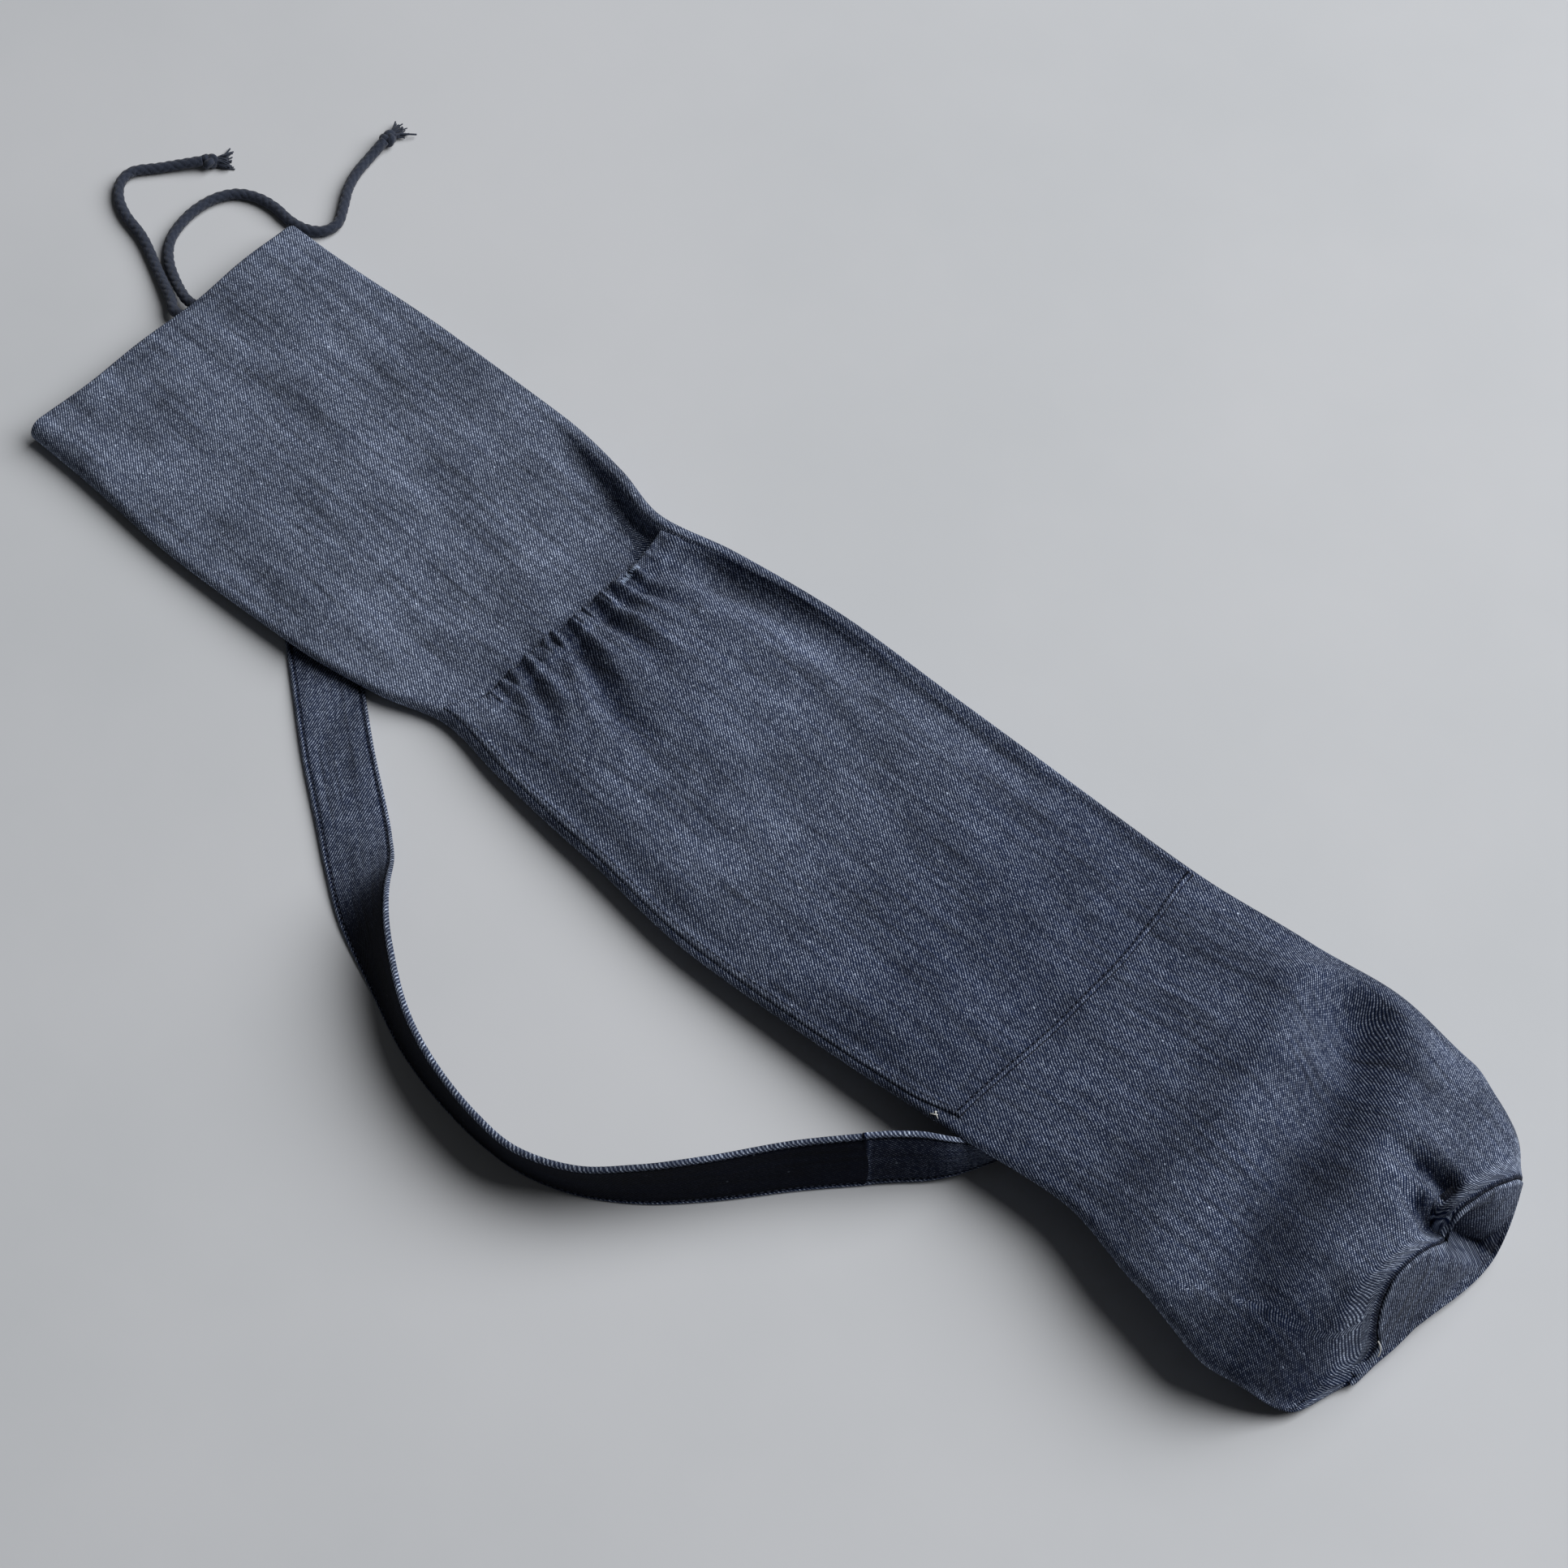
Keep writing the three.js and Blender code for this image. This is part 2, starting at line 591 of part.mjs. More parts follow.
function cordCurve(exitY, route) {
  const height = (CORD_DIAMETER + SEW_GAP) / 2;
  const places = [[cordStartX, exitY], [cordStartX - CORD_DIAMETER, exitY], ...route];
  const points = places.map(([x, y]) => new THREE.Vector3(x, y, height));
  points[points.length - 1].z += KNOT_RISE;
  return new THREE.CatmullRomCurve3(points, false, 'centripetal');
}

function cordTube(curve) {
  const circle = new THREE.EllipseCurve(0, 0, CORD_DIAMETER / 2, CORD_DIAMETER / 2);
  const section = new THREE.Shape(circle.getPoints(CORD_SIDES));
  const steps = Math.round(curve.getLength() / (CORD_STEP * CORD_DIAMETER));
  return new THREE.ExtrudeGeometry(section, { steps, bevelEnabled: false, extrudePath: curve });
}

// Knot with the frayed end of the cord beyond it
const KNOT_SIDES = 12;
function cordKnot() {
  const big = KNOT_DIAMETER / 2;
  const thin = CORD_DIAMETER / 2;
  const profile = [
    [0, 0], [thin, 0], [big * 0.9, KNOT_LENGTH * 0.2], [big, KNOT_LENGTH * 0.5],
    [big * 0.88, KNOT_LENGTH * 0.8], [thin * 0.8, KNOT_LENGTH], [thin * 1.3, KNOT_LENGTH + TUFT_LENGTH * 0.6],
    [thin, KNOT_LENGTH + TUFT_LENGTH], [0, KNOT_LENGTH + TUFT_LENGTH],
  ];
  return new THREE.LatheGeometry(profile.map(([r, h]) => new THREE.Vector2(r, h)), KNOT_SIDES);
}

// Finishes
function finish(color, roughness) {
  return new THREE.MeshStandardMaterial({ color, roughness, metalness: 0 });
}
const denim = () => finish(0x4d5666, 0.92);
const cordCotton = () => finish(0x2c3344, 0.95);
const elasticRubber = () => finish(0xd8d6d0, 0.8);

function piece(name, geometry, material) {
  const mesh = new THREE.Mesh(geometry, material);
  mesh.name = name;
  return mesh;
}

// Knot set on the end of a free cord, lying on the floor
function knotOn(name, curve) {
  const knot = piece(name, cordKnot(), cordCotton());
  const ahead = curve.getTangent(1).setZ(0).normalize();
  knot.quaternion.setFromUnitVectors(new THREE.Vector3(0, 1, 0), ahead);
  knot.position.copy(curve.getPoint(1)).addScaledVector(ahead, 2 * SEW_GAP).setZ(KNOT_DIAMETER / 2);
  return knot;
}

const shortCurve = cordCurve(exitLeftY, SHORT_END);
const longCurve = cordCurve(exitRightY, LONG_END);

const bag = new THREE.Group();
bag.name = 'mat_bag';
bag.add(piece('body_panel', bodyPanel(), denim()));
bag.add(piece('base_disc', baseDisc(), denim()));
bag.add(piece('pocket_panel', pocketPanel(), denim()));
bag.add(piece('pocket_elastic', pocketElastic(), elasticRubber()));
bag.add(piece('strap_long', strapPiece(0, lapEnd, 0), denim()));
bag.add(piece('strap_tab', strapPiece(lapStart, strapLast, lapSetBack), denim()));
bag.add(piece('drawstring_in_hem', drawstringInHem(), cordCotton()));
bag.add(piece('drawstring_short_end', cordTube(shortCurve), cordCotton()));
bag.add(piece('drawstring_long_end', cordTube(longCurve), cordCotton()));
bag.add(knotOn('knot_short_end', shortCurve));
bag.add(knotOn('knot_long_end', longCurve));

export default bag;
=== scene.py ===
import math

import bmesh
import bpy
import numpy as np
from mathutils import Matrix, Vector
from mathutils.bvhtree import BVHTree


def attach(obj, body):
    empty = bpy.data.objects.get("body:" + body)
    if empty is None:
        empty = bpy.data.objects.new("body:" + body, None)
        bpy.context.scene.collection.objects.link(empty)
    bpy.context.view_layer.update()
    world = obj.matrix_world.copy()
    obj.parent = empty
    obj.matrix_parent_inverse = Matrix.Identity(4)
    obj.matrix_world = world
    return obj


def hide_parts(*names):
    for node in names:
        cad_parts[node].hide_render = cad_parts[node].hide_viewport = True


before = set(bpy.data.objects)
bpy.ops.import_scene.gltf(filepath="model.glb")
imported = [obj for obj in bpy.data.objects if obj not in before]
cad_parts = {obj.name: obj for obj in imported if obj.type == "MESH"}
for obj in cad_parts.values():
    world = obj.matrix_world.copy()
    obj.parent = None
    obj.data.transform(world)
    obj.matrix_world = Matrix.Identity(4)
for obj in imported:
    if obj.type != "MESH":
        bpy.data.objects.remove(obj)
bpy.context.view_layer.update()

# Lengths are in millimetres, except those of the camera and the lamp, which are in metres
MM = 0.001

# Camera at the photograph's angle
CAMERA_AZIMUTH = math.radians(42.4)
CAMERA_ELEVATION = math.radians(56)
CAMERA_DISTANCE = 2.24327
CAMERA_LENS, CAMERA_SENSOR = 110, 36
CAMERA_FAR = 50
LOOK_AT = np.array([0.007, 0.012, 0.0])

# One large soft lamp from the far right, a faint sky, and how far the floor reaches
LAMP_PLACE, LAMP_TARGET = (1.63, 2.77, 3.38), (-0.1, 0, 0)
LAMP_SIZE, LAMP_POWER = 5.2, 322
SKY_COLOUR, SKY_STRENGTH = (0.96, 0.98, 1.0, 1.0), 0.04
FLOOR_REACH = 6000.0

# Cloth, hem and cord
DENIM = 1.0
MOUTH_X = -401.0
HEM_END_X = -374.0
BASE_X = 402.0
HEM_THICKNESS = 5.0
MOUTH_HEIGHT = 14.0
CORD_DIAMETER = 6.0
CORD_LIFT = 3.15
CORD_START_X = -402.3
CORD_STEP = 0.55
EXIT_SHORT_Y = 14.0
EXIT_LONG_Y = 23.0
EXIT_RISE, EXIT_REACH, EXIT_POINTS = 3.9, 32.0, 5

# Free ends of the drawstring on the floor, as in the CAD model
SHORT_END = [
    [-414, 18], [-434.7, 28], [-456.8, 38], [-474, 42.5], [-484.8, 48], [-491.5, 55.5],
    [-492.5, 64], [-483.5, 76.5], [-470, 93],
]
LONG_END = [
    [-413, 24.6], [-423, 29], [-436.5, 37], [-444.7, 46], [-448.6, 56.5], [-450, 68.5], [-448, 81],
    [-442, 90.5], [-432, 95.7], [-420.5, 97], [-411.5, 96], [-404, 96.3], [-397.5, 98.2], [-391.5, 103],
    [-390, 110.5], [-395, 119.5], [-402.8, 131], [-407, 141], [-409.5, 153], [-410.8, 165],
]

# Knots: where the middle lies beyond the cord, its size, height, wave and rope
KNOT_RISE = 1.8
KNOT_AHEAD, KNOT_SIZE = 3.4, 0.9
KNOT_HEIGHT, KNOT_WAVE = 4.0, 1.25
KNOT_ROPE = 2.35
KNOT_OPENING = 0.25

# Frayed strands beyond each knot
FRAY_STRANDS = 64
FRAY_AHEAD, FRAY_HEIGHT = 3.2, 3.4
FRAY_SPREAD, FRAY_BEND, FRAY_TAPER = 0.36, 0.16, 0.35
FRAY_LENGTH, FRAY_RADIUS, FRAY_DROOP = (4.5, 8.0), (0.5, 0.72), 2.0

# Sides of the tubes for the cord, its run in the hem, its knots and single threads
CORD_SIDES, HEM_CORD_SIDES, KNOT_SIDES, THREAD_SIDES = 36, 12, 28, 6

rng = np.random.default_rng(11)


# Small numeric helpers
CURVE_STEPS = 24
LEAST_GAP = 1e-4
CREASE_POINTS = 70
RIM_AT, RIM_WIDTH = 1.9, 0.8
RIPPLE_WAVES, RIPPLE_PITCH = 7, (0.7, 1.5)


def smooth(low, high, value):
    """Soft step from 0 at low to 1 at high; low may be the larger."""
    t = np.clip((value - low) / (high - low), 0, 1)
    return t * t * (3 - 2 * t)


def mix(a, b, t):
    return a + (b - a) * t


def bell(distance, width):
    return np.exp(-(distance / width) ** 2)


def band(value, amount, place, width):
    """An amount at a place, fading over a width on both sides; named bands hold these three in order."""
    return amount * bell(value - place, width)


def unit(v):
    return v / np.maximum(np.linalg.norm(v, axis=-1, keepdims=True), 1e-12)


def monotone(xs, ys, x):
    """Cubic through a table that never passes beyond its values."""
    xs, ys = np.asarray(xs, float), np.asarray(ys, float)
    step, slope = np.diff(xs), np.diff(ys) / np.diff(xs)
    tangent = np.zeros(len(xs))
    for k in range(1, len(xs) - 1):
        if slope[k - 1] * slope[k] > 0:
            before, after = 2 * step[k] + step[k - 1], step[k] + 2 * step[k - 1]
            tangent[k] = (before + after) / (before / slope[k - 1] + after / slope[k])
    i = np.clip(np.searchsorted(xs, x, side="right") - 1, 0, len(xs) - 2)
    t = (x - xs[i]) / step[i]
    pull = step[i] * (tangent[i] * t * (1 - t) ** 2 - tangent[i + 1] * t * t * (1 - t))
    return mix(ys[i], ys[i + 1], t * t * (3 - 2 * t)) + pull


def curve_gap(a, b):
    return max(np.linalg.norm(b - a) ** 0.5, LEAST_GAP)


def through(points, count):
    """Evenly spaced points on a centripetal Catmull-Rom curve."""
    p = np.asarray(points, float)
    p = np.vstack([2 * p[0] - p[1], p, 2 * p[-1] - p[-2]])
    fine = []
    for i in range(1, len(p) - 2):
        a, b, c, d = p[i - 1], p[i], p[i + 1], p[i + 2]
        t1 = curve_gap(a, b)
        t2 = t1 + curve_gap(b, c)
        t3 = t2 + curve_gap(c, d)
        t = np.linspace(t1, t2, CURVE_STEPS, endpoint=False)[:, None]
        a1 = (t1 - t) / t1 * a + t / t1 * b
        a2 = (t2 - t) / (t2 - t1) * b + (t - t1) / (t2 - t1) * c
        a3 = (t3 - t) / (t3 - t2) * c + (t - t2) / (t3 - t2) * d
        b1 = (t2 - t) / t2 * a1 + t / t2 * a2
        b2 = (t3 - t) / (t3 - t1) * a2 + (t - t1) / (t3 - t1) * a3
        fine.append((t2 - t) / (t2 - t1) * b1 + (t - t1) / (t2 - t1) * b2)
    return spaced(np.vstack(fine + [p[-2][None]]), count)


def distances(line):
    """Distance along a line at each of its points."""
    return np.concatenate([[0], np.cumsum(np.linalg.norm(np.diff(line, axis=0), axis=1))])


def at_distance(line, reach, wanted):
    """Points of a line at some distances, where reach is the distance at each of its points."""
    return np.stack([np.interp(wanted, reach, line[:, k]) for k in range(line.shape[1])], -1)


def spaced(line, count):
    reach = distances(line)
    return at_distance(line, reach, np.linspace(0, reach[-1], count))


def length_of(line):
    return float(np.linalg.norm(np.diff(line, axis=0), axis=1).sum())


def ripples(x, y, height, wavelength, seed):
    """Smooth uneven surface; values named uneven hold its height, wavelength and seed, in that order."""
    r = np.random.default_rng(seed)
    total = np.zeros(np.broadcast(x, y).shape)
    for _ in range(RIPPLE_WAVES):
        heading, phase = r.uniform(0, 2 * math.pi, 2)
        pitch = wavelength * r.uniform(*RIPPLE_PITCH)
        total += np.sin(2 * math.pi * (x * math.cos(heading) + y * math.sin(heading)) / pitch + phase)
    return height * (total / RIPPLE_WAVES ** 0.5)


def crease(x, y, line, width, spread=1.0):
    """Distance across a crease in widths, and the share along it, for every point."""
    path = through(line, CREASE_POINTS)
    share = np.linspace(0, 1, len(path))
    best = np.full(x.shape, np.inf)
    at = np.zeros(x.shape)
    for (px, py), s in zip(path, share):
        d = (x - px) ** 2 + (y - py) ** 2
        nearer = d < best
        best[nearer] = d[nearer]
        at[nearer] = s
    return np.sqrt(best) / (width * (1 + spread * at)), at


def valley(x, y, line, depth, width, spread, rim, fade):
    """Height of a valley along a line: it widens by spread, has raised rims, and fades along its way."""
    across, at = crease(x, y, line, width, spread)
    ends = (1 - at) ** fade
    return ends * depth * (rim * bell(across - RIM_AT, RIM_WIDTH) - np.exp(-across ** 2))


def steps(*stops):
    """Places along a line, from pairs of a stop and the number of steps to the next."""
    places = [stops[0][0]]
    for (start, count), (end, _) in zip(stops[:-1], stops[1:]):
        places += list(np.linspace(start, end, count + 1)[1:])
    return np.array(places)


# Mesh building, with welds in metres
WELD_DISTANCE, LEAST_EDGE = 2e-6, 1e-7


def grid_object(name, grid, uv, wrap_rows=False, wrap_cols=False, weld=False, wear_and_shade=None):
    """Mesh object through a grid of points; uv has one more row or column where the grid wraps."""
    n, m = grid.shape[:2]
    rows = np.arange(n if wrap_rows else n - 1)
    columns = np.arange(m if wrap_cols else m - 1)
    i, j = np.meshgrid(rows, columns, indexing="ij")
    a, b = (i + 1) % n, (j + 1) % m
    quads = np.stack([i * m + j, i * m + b, a * m + b, a * m + j], -1).reshape(-1, 4)
    corners = np.stack([uv[i, j], uv[i, j + 1], uv[i + 1, j + 1], uv[i + 1, j]], 2).reshape(-1, 4, 2)
    points = grid.reshape(-1, 3)
    return mesh_object(name, points, quads, corners, weld, None if wear_and_shade is None else wear_and_shade.ravel())


def mesh_object(name, points, quads, corners, weld=False, wear_and_shade=None):
    """Mesh object of four-sided faces that look outwards, with weave coordinates at their corners."""
    p = points[quads]
    one, two, three = p[:, 1] - p[:, 0], p[:, 2] - p[:, 0], p[:, 3] - p[:, 0]
    facing = ((p[:, 0] - points.mean(0)) * (np.cross(one, two) + np.cross(two, three))).sum()
    if facing < 0:
        quads, corners = quads[:, ::-1], corners[:, ::-1]
    mesh = bpy.data.meshes.new(name)
    mesh.vertices.add(len(points))
    mesh.vertices.foreach_set("co", (points * MM).astype(np.float32).ravel())
    mesh.loops.add(quads.size)
    mesh.loops.foreach_set("vertex_index", np.ascontiguousarray(quads, np.int32).ravel())
    mesh.polygons.add(len(quads))
    mesh.polygons.foreach_set("loop_start", np.arange(0, quads.size, 4, dtype=np.int32))
    mesh.update(calc_edges=True)
    layer = mesh.uv_layers.new(name="weave")
    layer.data.foreach_set("uv", np.ascontiguousarray(corners, np.float32).ravel())
    # per-point wear, painted light and painted shade for the cloth's tone
    if wear_and_shade is not None:
        mesh.attributes.new("wear_and_shade", "FLOAT", "POINT").data.foreach_set("value", wear_and_shade.astype(np.float32))
    if weld:
        bm = bmesh.new()
        bm.from_mesh(mesh)
        bmesh.ops.remove_doubles(bm, verts=bm.verts, dist=WELD_DISTANCE)
        bmesh.ops.dissolve_degenerate(bm, edges=bm.edges, dist=LEAST_EDGE)
        bm.to_mesh(mesh)
        bm.free()
    mesh.polygons.foreach_set("use_smooth", np.ones(len(mesh.polygons), bool))
    mesh.update()
    made = bpy.data.objects.new(name, mesh)
    bpy.context.scene.collection.objects.link(made)
    return made


def joined(name, parts):
    """One object from several; the parts are removed."""
    bpy.ops.object.select_all(action="DESELECT")
    for part in parts:
        part.select_set(True)
    bpy.context.view_layer.objects.active = parts[0]
    bpy.ops.object.join()
    parts[0].name = name
    return parts[0]


def capped(grid, first, last):
    """Rings with one more ring before and after, each drawn to a point."""
    start, end = (np.repeat(point[None, None], grid.shape[1], 1) for point in (first, last))
    return np.concatenate([start, grid, end])


def frames_along(path):
    """Two side directions carried along a path without twist."""
    tangent = unit(np.gradient(path, axis=0))
    side = np.zeros_like(path)
    start = np.array([0.0, 0.0, 1.0])
    for i, t in enumerate(tangent):
        start = start - t * (start @ t)
        start = start / np.linalg.norm(start)
        side[i] = start
    return side, np.cross(tangent, side)


def tube_object(name, path, radius, sides, relief=None):
    """Closed tube round a path; relief gives the share of the radius at an angle and a distance along."""
    side, other = frames_along(path)
    along = distances(path)
    turn = np.linspace(0, 2 * math.pi, sides, endpoint=False)
    r = np.broadcast_to(np.asarray(radius, float).reshape(-1, 1), (len(path), sides)).copy()
    if relief is not None:
        r *= relief(turn[None, :], along[:, None])
    grid = path[:, None] + r[..., None] * (
        np.cos(turn)[None, :, None] * side[:, None] + np.sin(turn)[None, :, None] * other[:, None]
    )
    around = np.linspace(0, 2 * math.pi * float(np.mean(np.asarray(radius, float))), sides + 1)
    along = np.concatenate([[along[0]], along, [along[-1]]])
    uv = np.stack(np.broadcast_arrays(around[None, :], along[:, None]), -1)
    return grid_object(name, capped(grid, path[0], path[-1]), uv, wrap_cols=True, weld=True)


# Shader building
class Shader:
    def __init__(self, name):
        self.material = bpy.data.materials.new(name)
        self.material.use_nodes = True
        self.tree = self.material.node_tree
        self.principled = self.tree.nodes["Principled BSDF"]

    def feed(self, node, inputs):
        """Feeds inputs of a node, by name or place, with values or with outputs of other nodes."""
        for key, value in inputs.items():
            if isinstance(value, bpy.types.NodeSocket):
                self.tree.links.new(value, node.inputs[key])
            else:
                node.inputs[key].default_value = value

    def node(self, kind, inputs, **settings):
        made = self.tree.nodes.new(kind)
        for key, value in settings.items():
            setattr(made, key, value)
        self.feed(made, inputs)
        return made

    def math(self, operation, *values):
        return self.node("ShaderNodeMath", dict(enumerate(values)), operation=operation).outputs[0]

    def plus(self, one, other):
        return self.math("ADD", one, other)

    def times(self, one, other):
        return self.math("MULTIPLY", one, other)

    def wave(self, value):
        """Triangle wave from 0 to one half and back, once per unit."""
        return self.math("PINGPONG", value, 0.5)

    def ramp(self, value, low, high, to_low=0.0, to_high=1.0):
        inputs = dict(enumerate((value, low, high, to_low, to_high)))
        return self.node("ShaderNodeMapRange", inputs, interpolation_type="SMOOTHSTEP").outputs[0]

    def vector(self, x, y):
        return self.node("ShaderNodeCombineXYZ", {"X": x, "Y": y}).outputs[0]

    def noise(self, vector, scale, detail=2.0, roughness=0.5):
        inputs = {"Vector": vector, "Scale": scale, "Detail": detail, "Roughness": roughness}
        return self.node("ShaderNodeTexNoise", inputs).outputs[0]

    def streaks(self, u, v, across, along, detail, roughness, weight):
        """Noise drawn out by its scales across and along the cloth, times its weight."""
        place = self.vector(self.times(u, across), self.times(v, along))
        return self.times(self.noise(place, 1.0, detail, roughness), weight)

    def blend(self, share, first, second):
        return self.node("ShaderNodeMix", {0: share, 6: first, 7: second}, data_type="RGBA").outputs[2]

    def scaled(self, colour, amount):
        return self.node("ShaderNodeVectorMath", {0: colour, 3: amount}, operation="SCALE").outputs[0]

    def weave(self):
        place = self.node("ShaderNodeUVMap", {}, uv_map="weave").outputs[0]
        return self.node("ShaderNodeSeparateXYZ", {0: place}).outputs[:2]

    def attribute(self, name):
        return self.node("ShaderNodeAttribute", {}, attribute_name=name).outputs["Fac"]

    def bump(self, height, strength, distance):
        made = self.node("ShaderNodeBump", {"Height": height, "Strength": strength, "Distance": distance})
        self.feed(self.principled, {"Normal": made.outputs[0]})

    def finish(self, colour, roughness, specular, sheen=0.0):
        looks = {"Roughness": roughness, "Specular IOR Level": specular, "Sheen Weight": sheen}
        self.feed(self.principled, {"Base Color": colour, **looks})
        return self.material


def linear(r, g, b):
    """Scene colour from an 8-bit screen colour."""
    values = [c / 255 for c in (r, g, b)]
    return tuple(c / 12.92 if c <= 0.04045 else ((c + 0.055) / 1.055) ** 2.4 for c in values) + (1.0,)


# Twill: the pitch of its lines, their direction and wobble, and the pale flecks along them
TWILL_PITCH = 1.13
TWILL_ALONG, TWILL_ACROSS = 0.806, 0.592
TWILL_WOBBLE = 0.16
FLECK_LENGTH, ROW_SHIFT = 0.95, 0.37
FLECK_POWER, FLECK_GAIN, FLECK_LEAST = 1.3, 0.74, 0.26
FLECK_WIDTH = (0.25, 0.95)
FLECK_DASH = (0.0, 0.7, 0.3)

# Slubs: few pale spots, drawn out along the cloth
SLUB_SCALE, SLUB_STRETCH = 0.06, 0.7
SLUB_SIZE, SLUB_CHOICE, SLUB_SHARE = (0.014, 0.034), (0.45, 0.75), 0.7

# Wear and painted light are paler above zero, more so on flecks than on the ground, and painted shade is
# darker below zero
WEAR_AND_SHADE_ON_FLECKS, WEAR_AND_SHADE_ON_GROUND, DARKEST_PAINTED_SHADE = 0.7, 0.14, 0.2

# Uneven tone: scales across and along the cloth, detail, roughness and weight
CLOUD = (0.045, 0.016, 4, 0.55, 1.8)
WARP_STREAKS = (0.33, 0.014, 4, 0.65, 2.0)
WEFT_STREAKS = (0.02, 0.4, 3, 0.6, 0.7)
TONE_DROP, LEAST_TONE = 1.26, 0.45

# Relief of the weave: shares of the lines and of the fuzz, the fuzz's scale, and the bump in metres
LINE_RELIEF, FUZZ_RELIEF, FUZZ_SCALE = 0.7, 0.5, 2.4
DENIM_BUMP = (0.5, 0.0005)


def denim_material(name, dark, light):
    s = Shader(name)
    u, v = s.weave()
    place = s.vector(u, v)
    wobble = s.math("SUBTRACT", s.noise(place, TWILL_WOBBLE), 0.5)
    line = s.plus(s.times(v, TWILL_ACROSS / TWILL_PITCH), wobble)
    line = s.plus(line, s.times(u, TWILL_ALONG / TWILL_PITCH))
    along = s.times(v, TWILL_ALONG / FLECK_LENGTH)
    along = s.math("SUBTRACT", along, s.times(u, TWILL_ACROSS / FLECK_LENGTH))
    row = s.math("FLOOR", line)
    along = s.plus(along, s.times(row, ROW_SHIFT))
    square = s.vector(row, s.math("FLOOR", along))
    cell = s.node("ShaderNodeTexWhiteNoise", {"Vector": square}, noise_dimensions="2D")
    ridge = s.times(s.wave(line), 2.0)
    dash = s.times(s.wave(along), 2.0)
    bright = s.plus(s.times(s.math("POWER", cell.outputs[0], FLECK_POWER), FLECK_GAIN), FLECK_LEAST)
    fleck = s.times(s.times(s.ramp(ridge, *FLECK_WIDTH), s.ramp(dash, *FLECK_DASH)), bright)
    spots = {"Vector": s.vector(u, s.times(v, SLUB_STRETCH)), "Scale": SLUB_SCALE}
    slub = s.node("ShaderNodeTexVoronoi", spots, voronoi_dimensions="2D")
    spot = s.ramp(slub.outputs["Distance"], *SLUB_SIZE, 1.0, 0.0)
    chosen = s.node("ShaderNodeSeparateXYZ", {0: slub.outputs["Color"]})
    spot = s.times(spot, s.ramp(chosen.outputs[0], *SLUB_CHOICE))
    # the wear attribute holds wear, painted light and painted shade; below zero it darkens the tone as
    # painted shade
    wear_and_shade_value = s.attribute("wear_and_shade")
    wear_and_shade_share = s.times(wear_and_shade_value, s.plus(s.times(fleck, WEAR_AND_SHADE_ON_FLECKS), WEAR_AND_SHADE_ON_GROUND))
    share = s.plus(s.plus(fleck, wear_and_shade_share), s.times(spot, SLUB_SHARE))
    share = s.math("MAXIMUM", s.math("MINIMUM", share, 1.0), 0.0)
    tone = s.plus(s.streaks(u, v, *CLOUD), s.streaks(u, v, *WARP_STREAKS))
    tone = s.plus(tone, s.math("SUBTRACT", s.streaks(u, v, *WEFT_STREAKS), TONE_DROP))
    tone = s.math("MAXIMUM", tone, LEAST_TONE)
    tone = s.times(tone, s.ramp(wear_and_shade_value, -1.0, 0.0, DARKEST_PAINTED_SHADE))
    colour = s.scaled(s.blend(share, dark, light), tone)
    fuzz = s.noise(place, FUZZ_SCALE)
    s.bump(s.plus(s.times(ridge, LINE_RELIEF), s.times(fuzz, FUZZ_RELIEF)), *DENIM_BUMP)
    return s.finish(colour, 0.92, sheen=0.03, specular=0.1)


# Cord: yarns per millimetre round and along it, scales of its fibres and of its patches
YARN_ROUND, YARN_ALONG = 1.6, 0.9
FIBRE_SCALE, FIBRE_SHARE = 1.4, 0.9
PATCH_SCALE, PATCH_SHARE = 0.12, 0.25
CORD_FUZZ, CORD_BUMP = 3.2, (0.6, 0.0004)


def cord_material(name, dark, light):
    s = Shader(name)
    u, v = s.weave()
    place = s.vector(u, v)
    around, along = s.times(u, YARN_ROUND), s.times(v, YARN_ALONG)
    yarn, other = s.wave(s.plus(around, along)), s.wave(s.math("SUBTRACT", around, along))
    fibre = s.times(s.plus(yarn, other), s.noise(place, FIBRE_SCALE, 3))
    share = s.plus(s.times(fibre, FIBRE_SHARE), s.times(s.noise(place, PATCH_SCALE), PATCH_SHARE))
    colour = s.blend(s.math("MINIMUM", share, 1.0), dark, light)
    s.bump(s.plus(fibre, s.noise(place, CORD_FUZZ)), *CORD_BUMP)
    return s.finish(colour, 0.95, sheen=0.2, specular=0.15)


# Thread: plies per millimetre round and along it
PLY_ROUND, PLY_ALONG = 0.8, 1.3
THREAD_PATCH, THREAD_BUMP = 1.1, (0.5, 0.0002)


def thread_material(name, dark, light):
    s = Shader(name)
    u, v = s.weave()
    ply = s.wave(s.plus(s.times(u, PLY_ROUND), s.times(v, PLY_ALONG)))
    share = s.plus(ply, s.times(s.noise(s.vector(u, v), THREAD_PATCH), 0.5))
    s.bump(ply, *THREAD_BUMP)
    return s.finish(s.blend(s.math("MINIMUM", share, 1.0), dark, light), 0.8, sheen=0.1, specular=0.3)


# Floor: scales per metre of its grain and of its soft patches
FLOOR_GRAIN, FLOOR_PATCH, FLOOR_BUMP = 60.0, 2.2, (0.05, 0.001)


def floor_material(name, dark, light):
    s = Shader(name)
    place = s.node("ShaderNodeTexCoord", {}).outputs["Object"]
    s.bump(s.noise(place, FLOOR_GRAIN, 4), *FLOOR_BUMP)
    patch = s.ramp(s.noise(place, FLOOR_PATCH, 5, 0.6), 0.3, 0.7)
    return s.finish(s.blend(patch, dark, light), 0.85, specular=0.2)


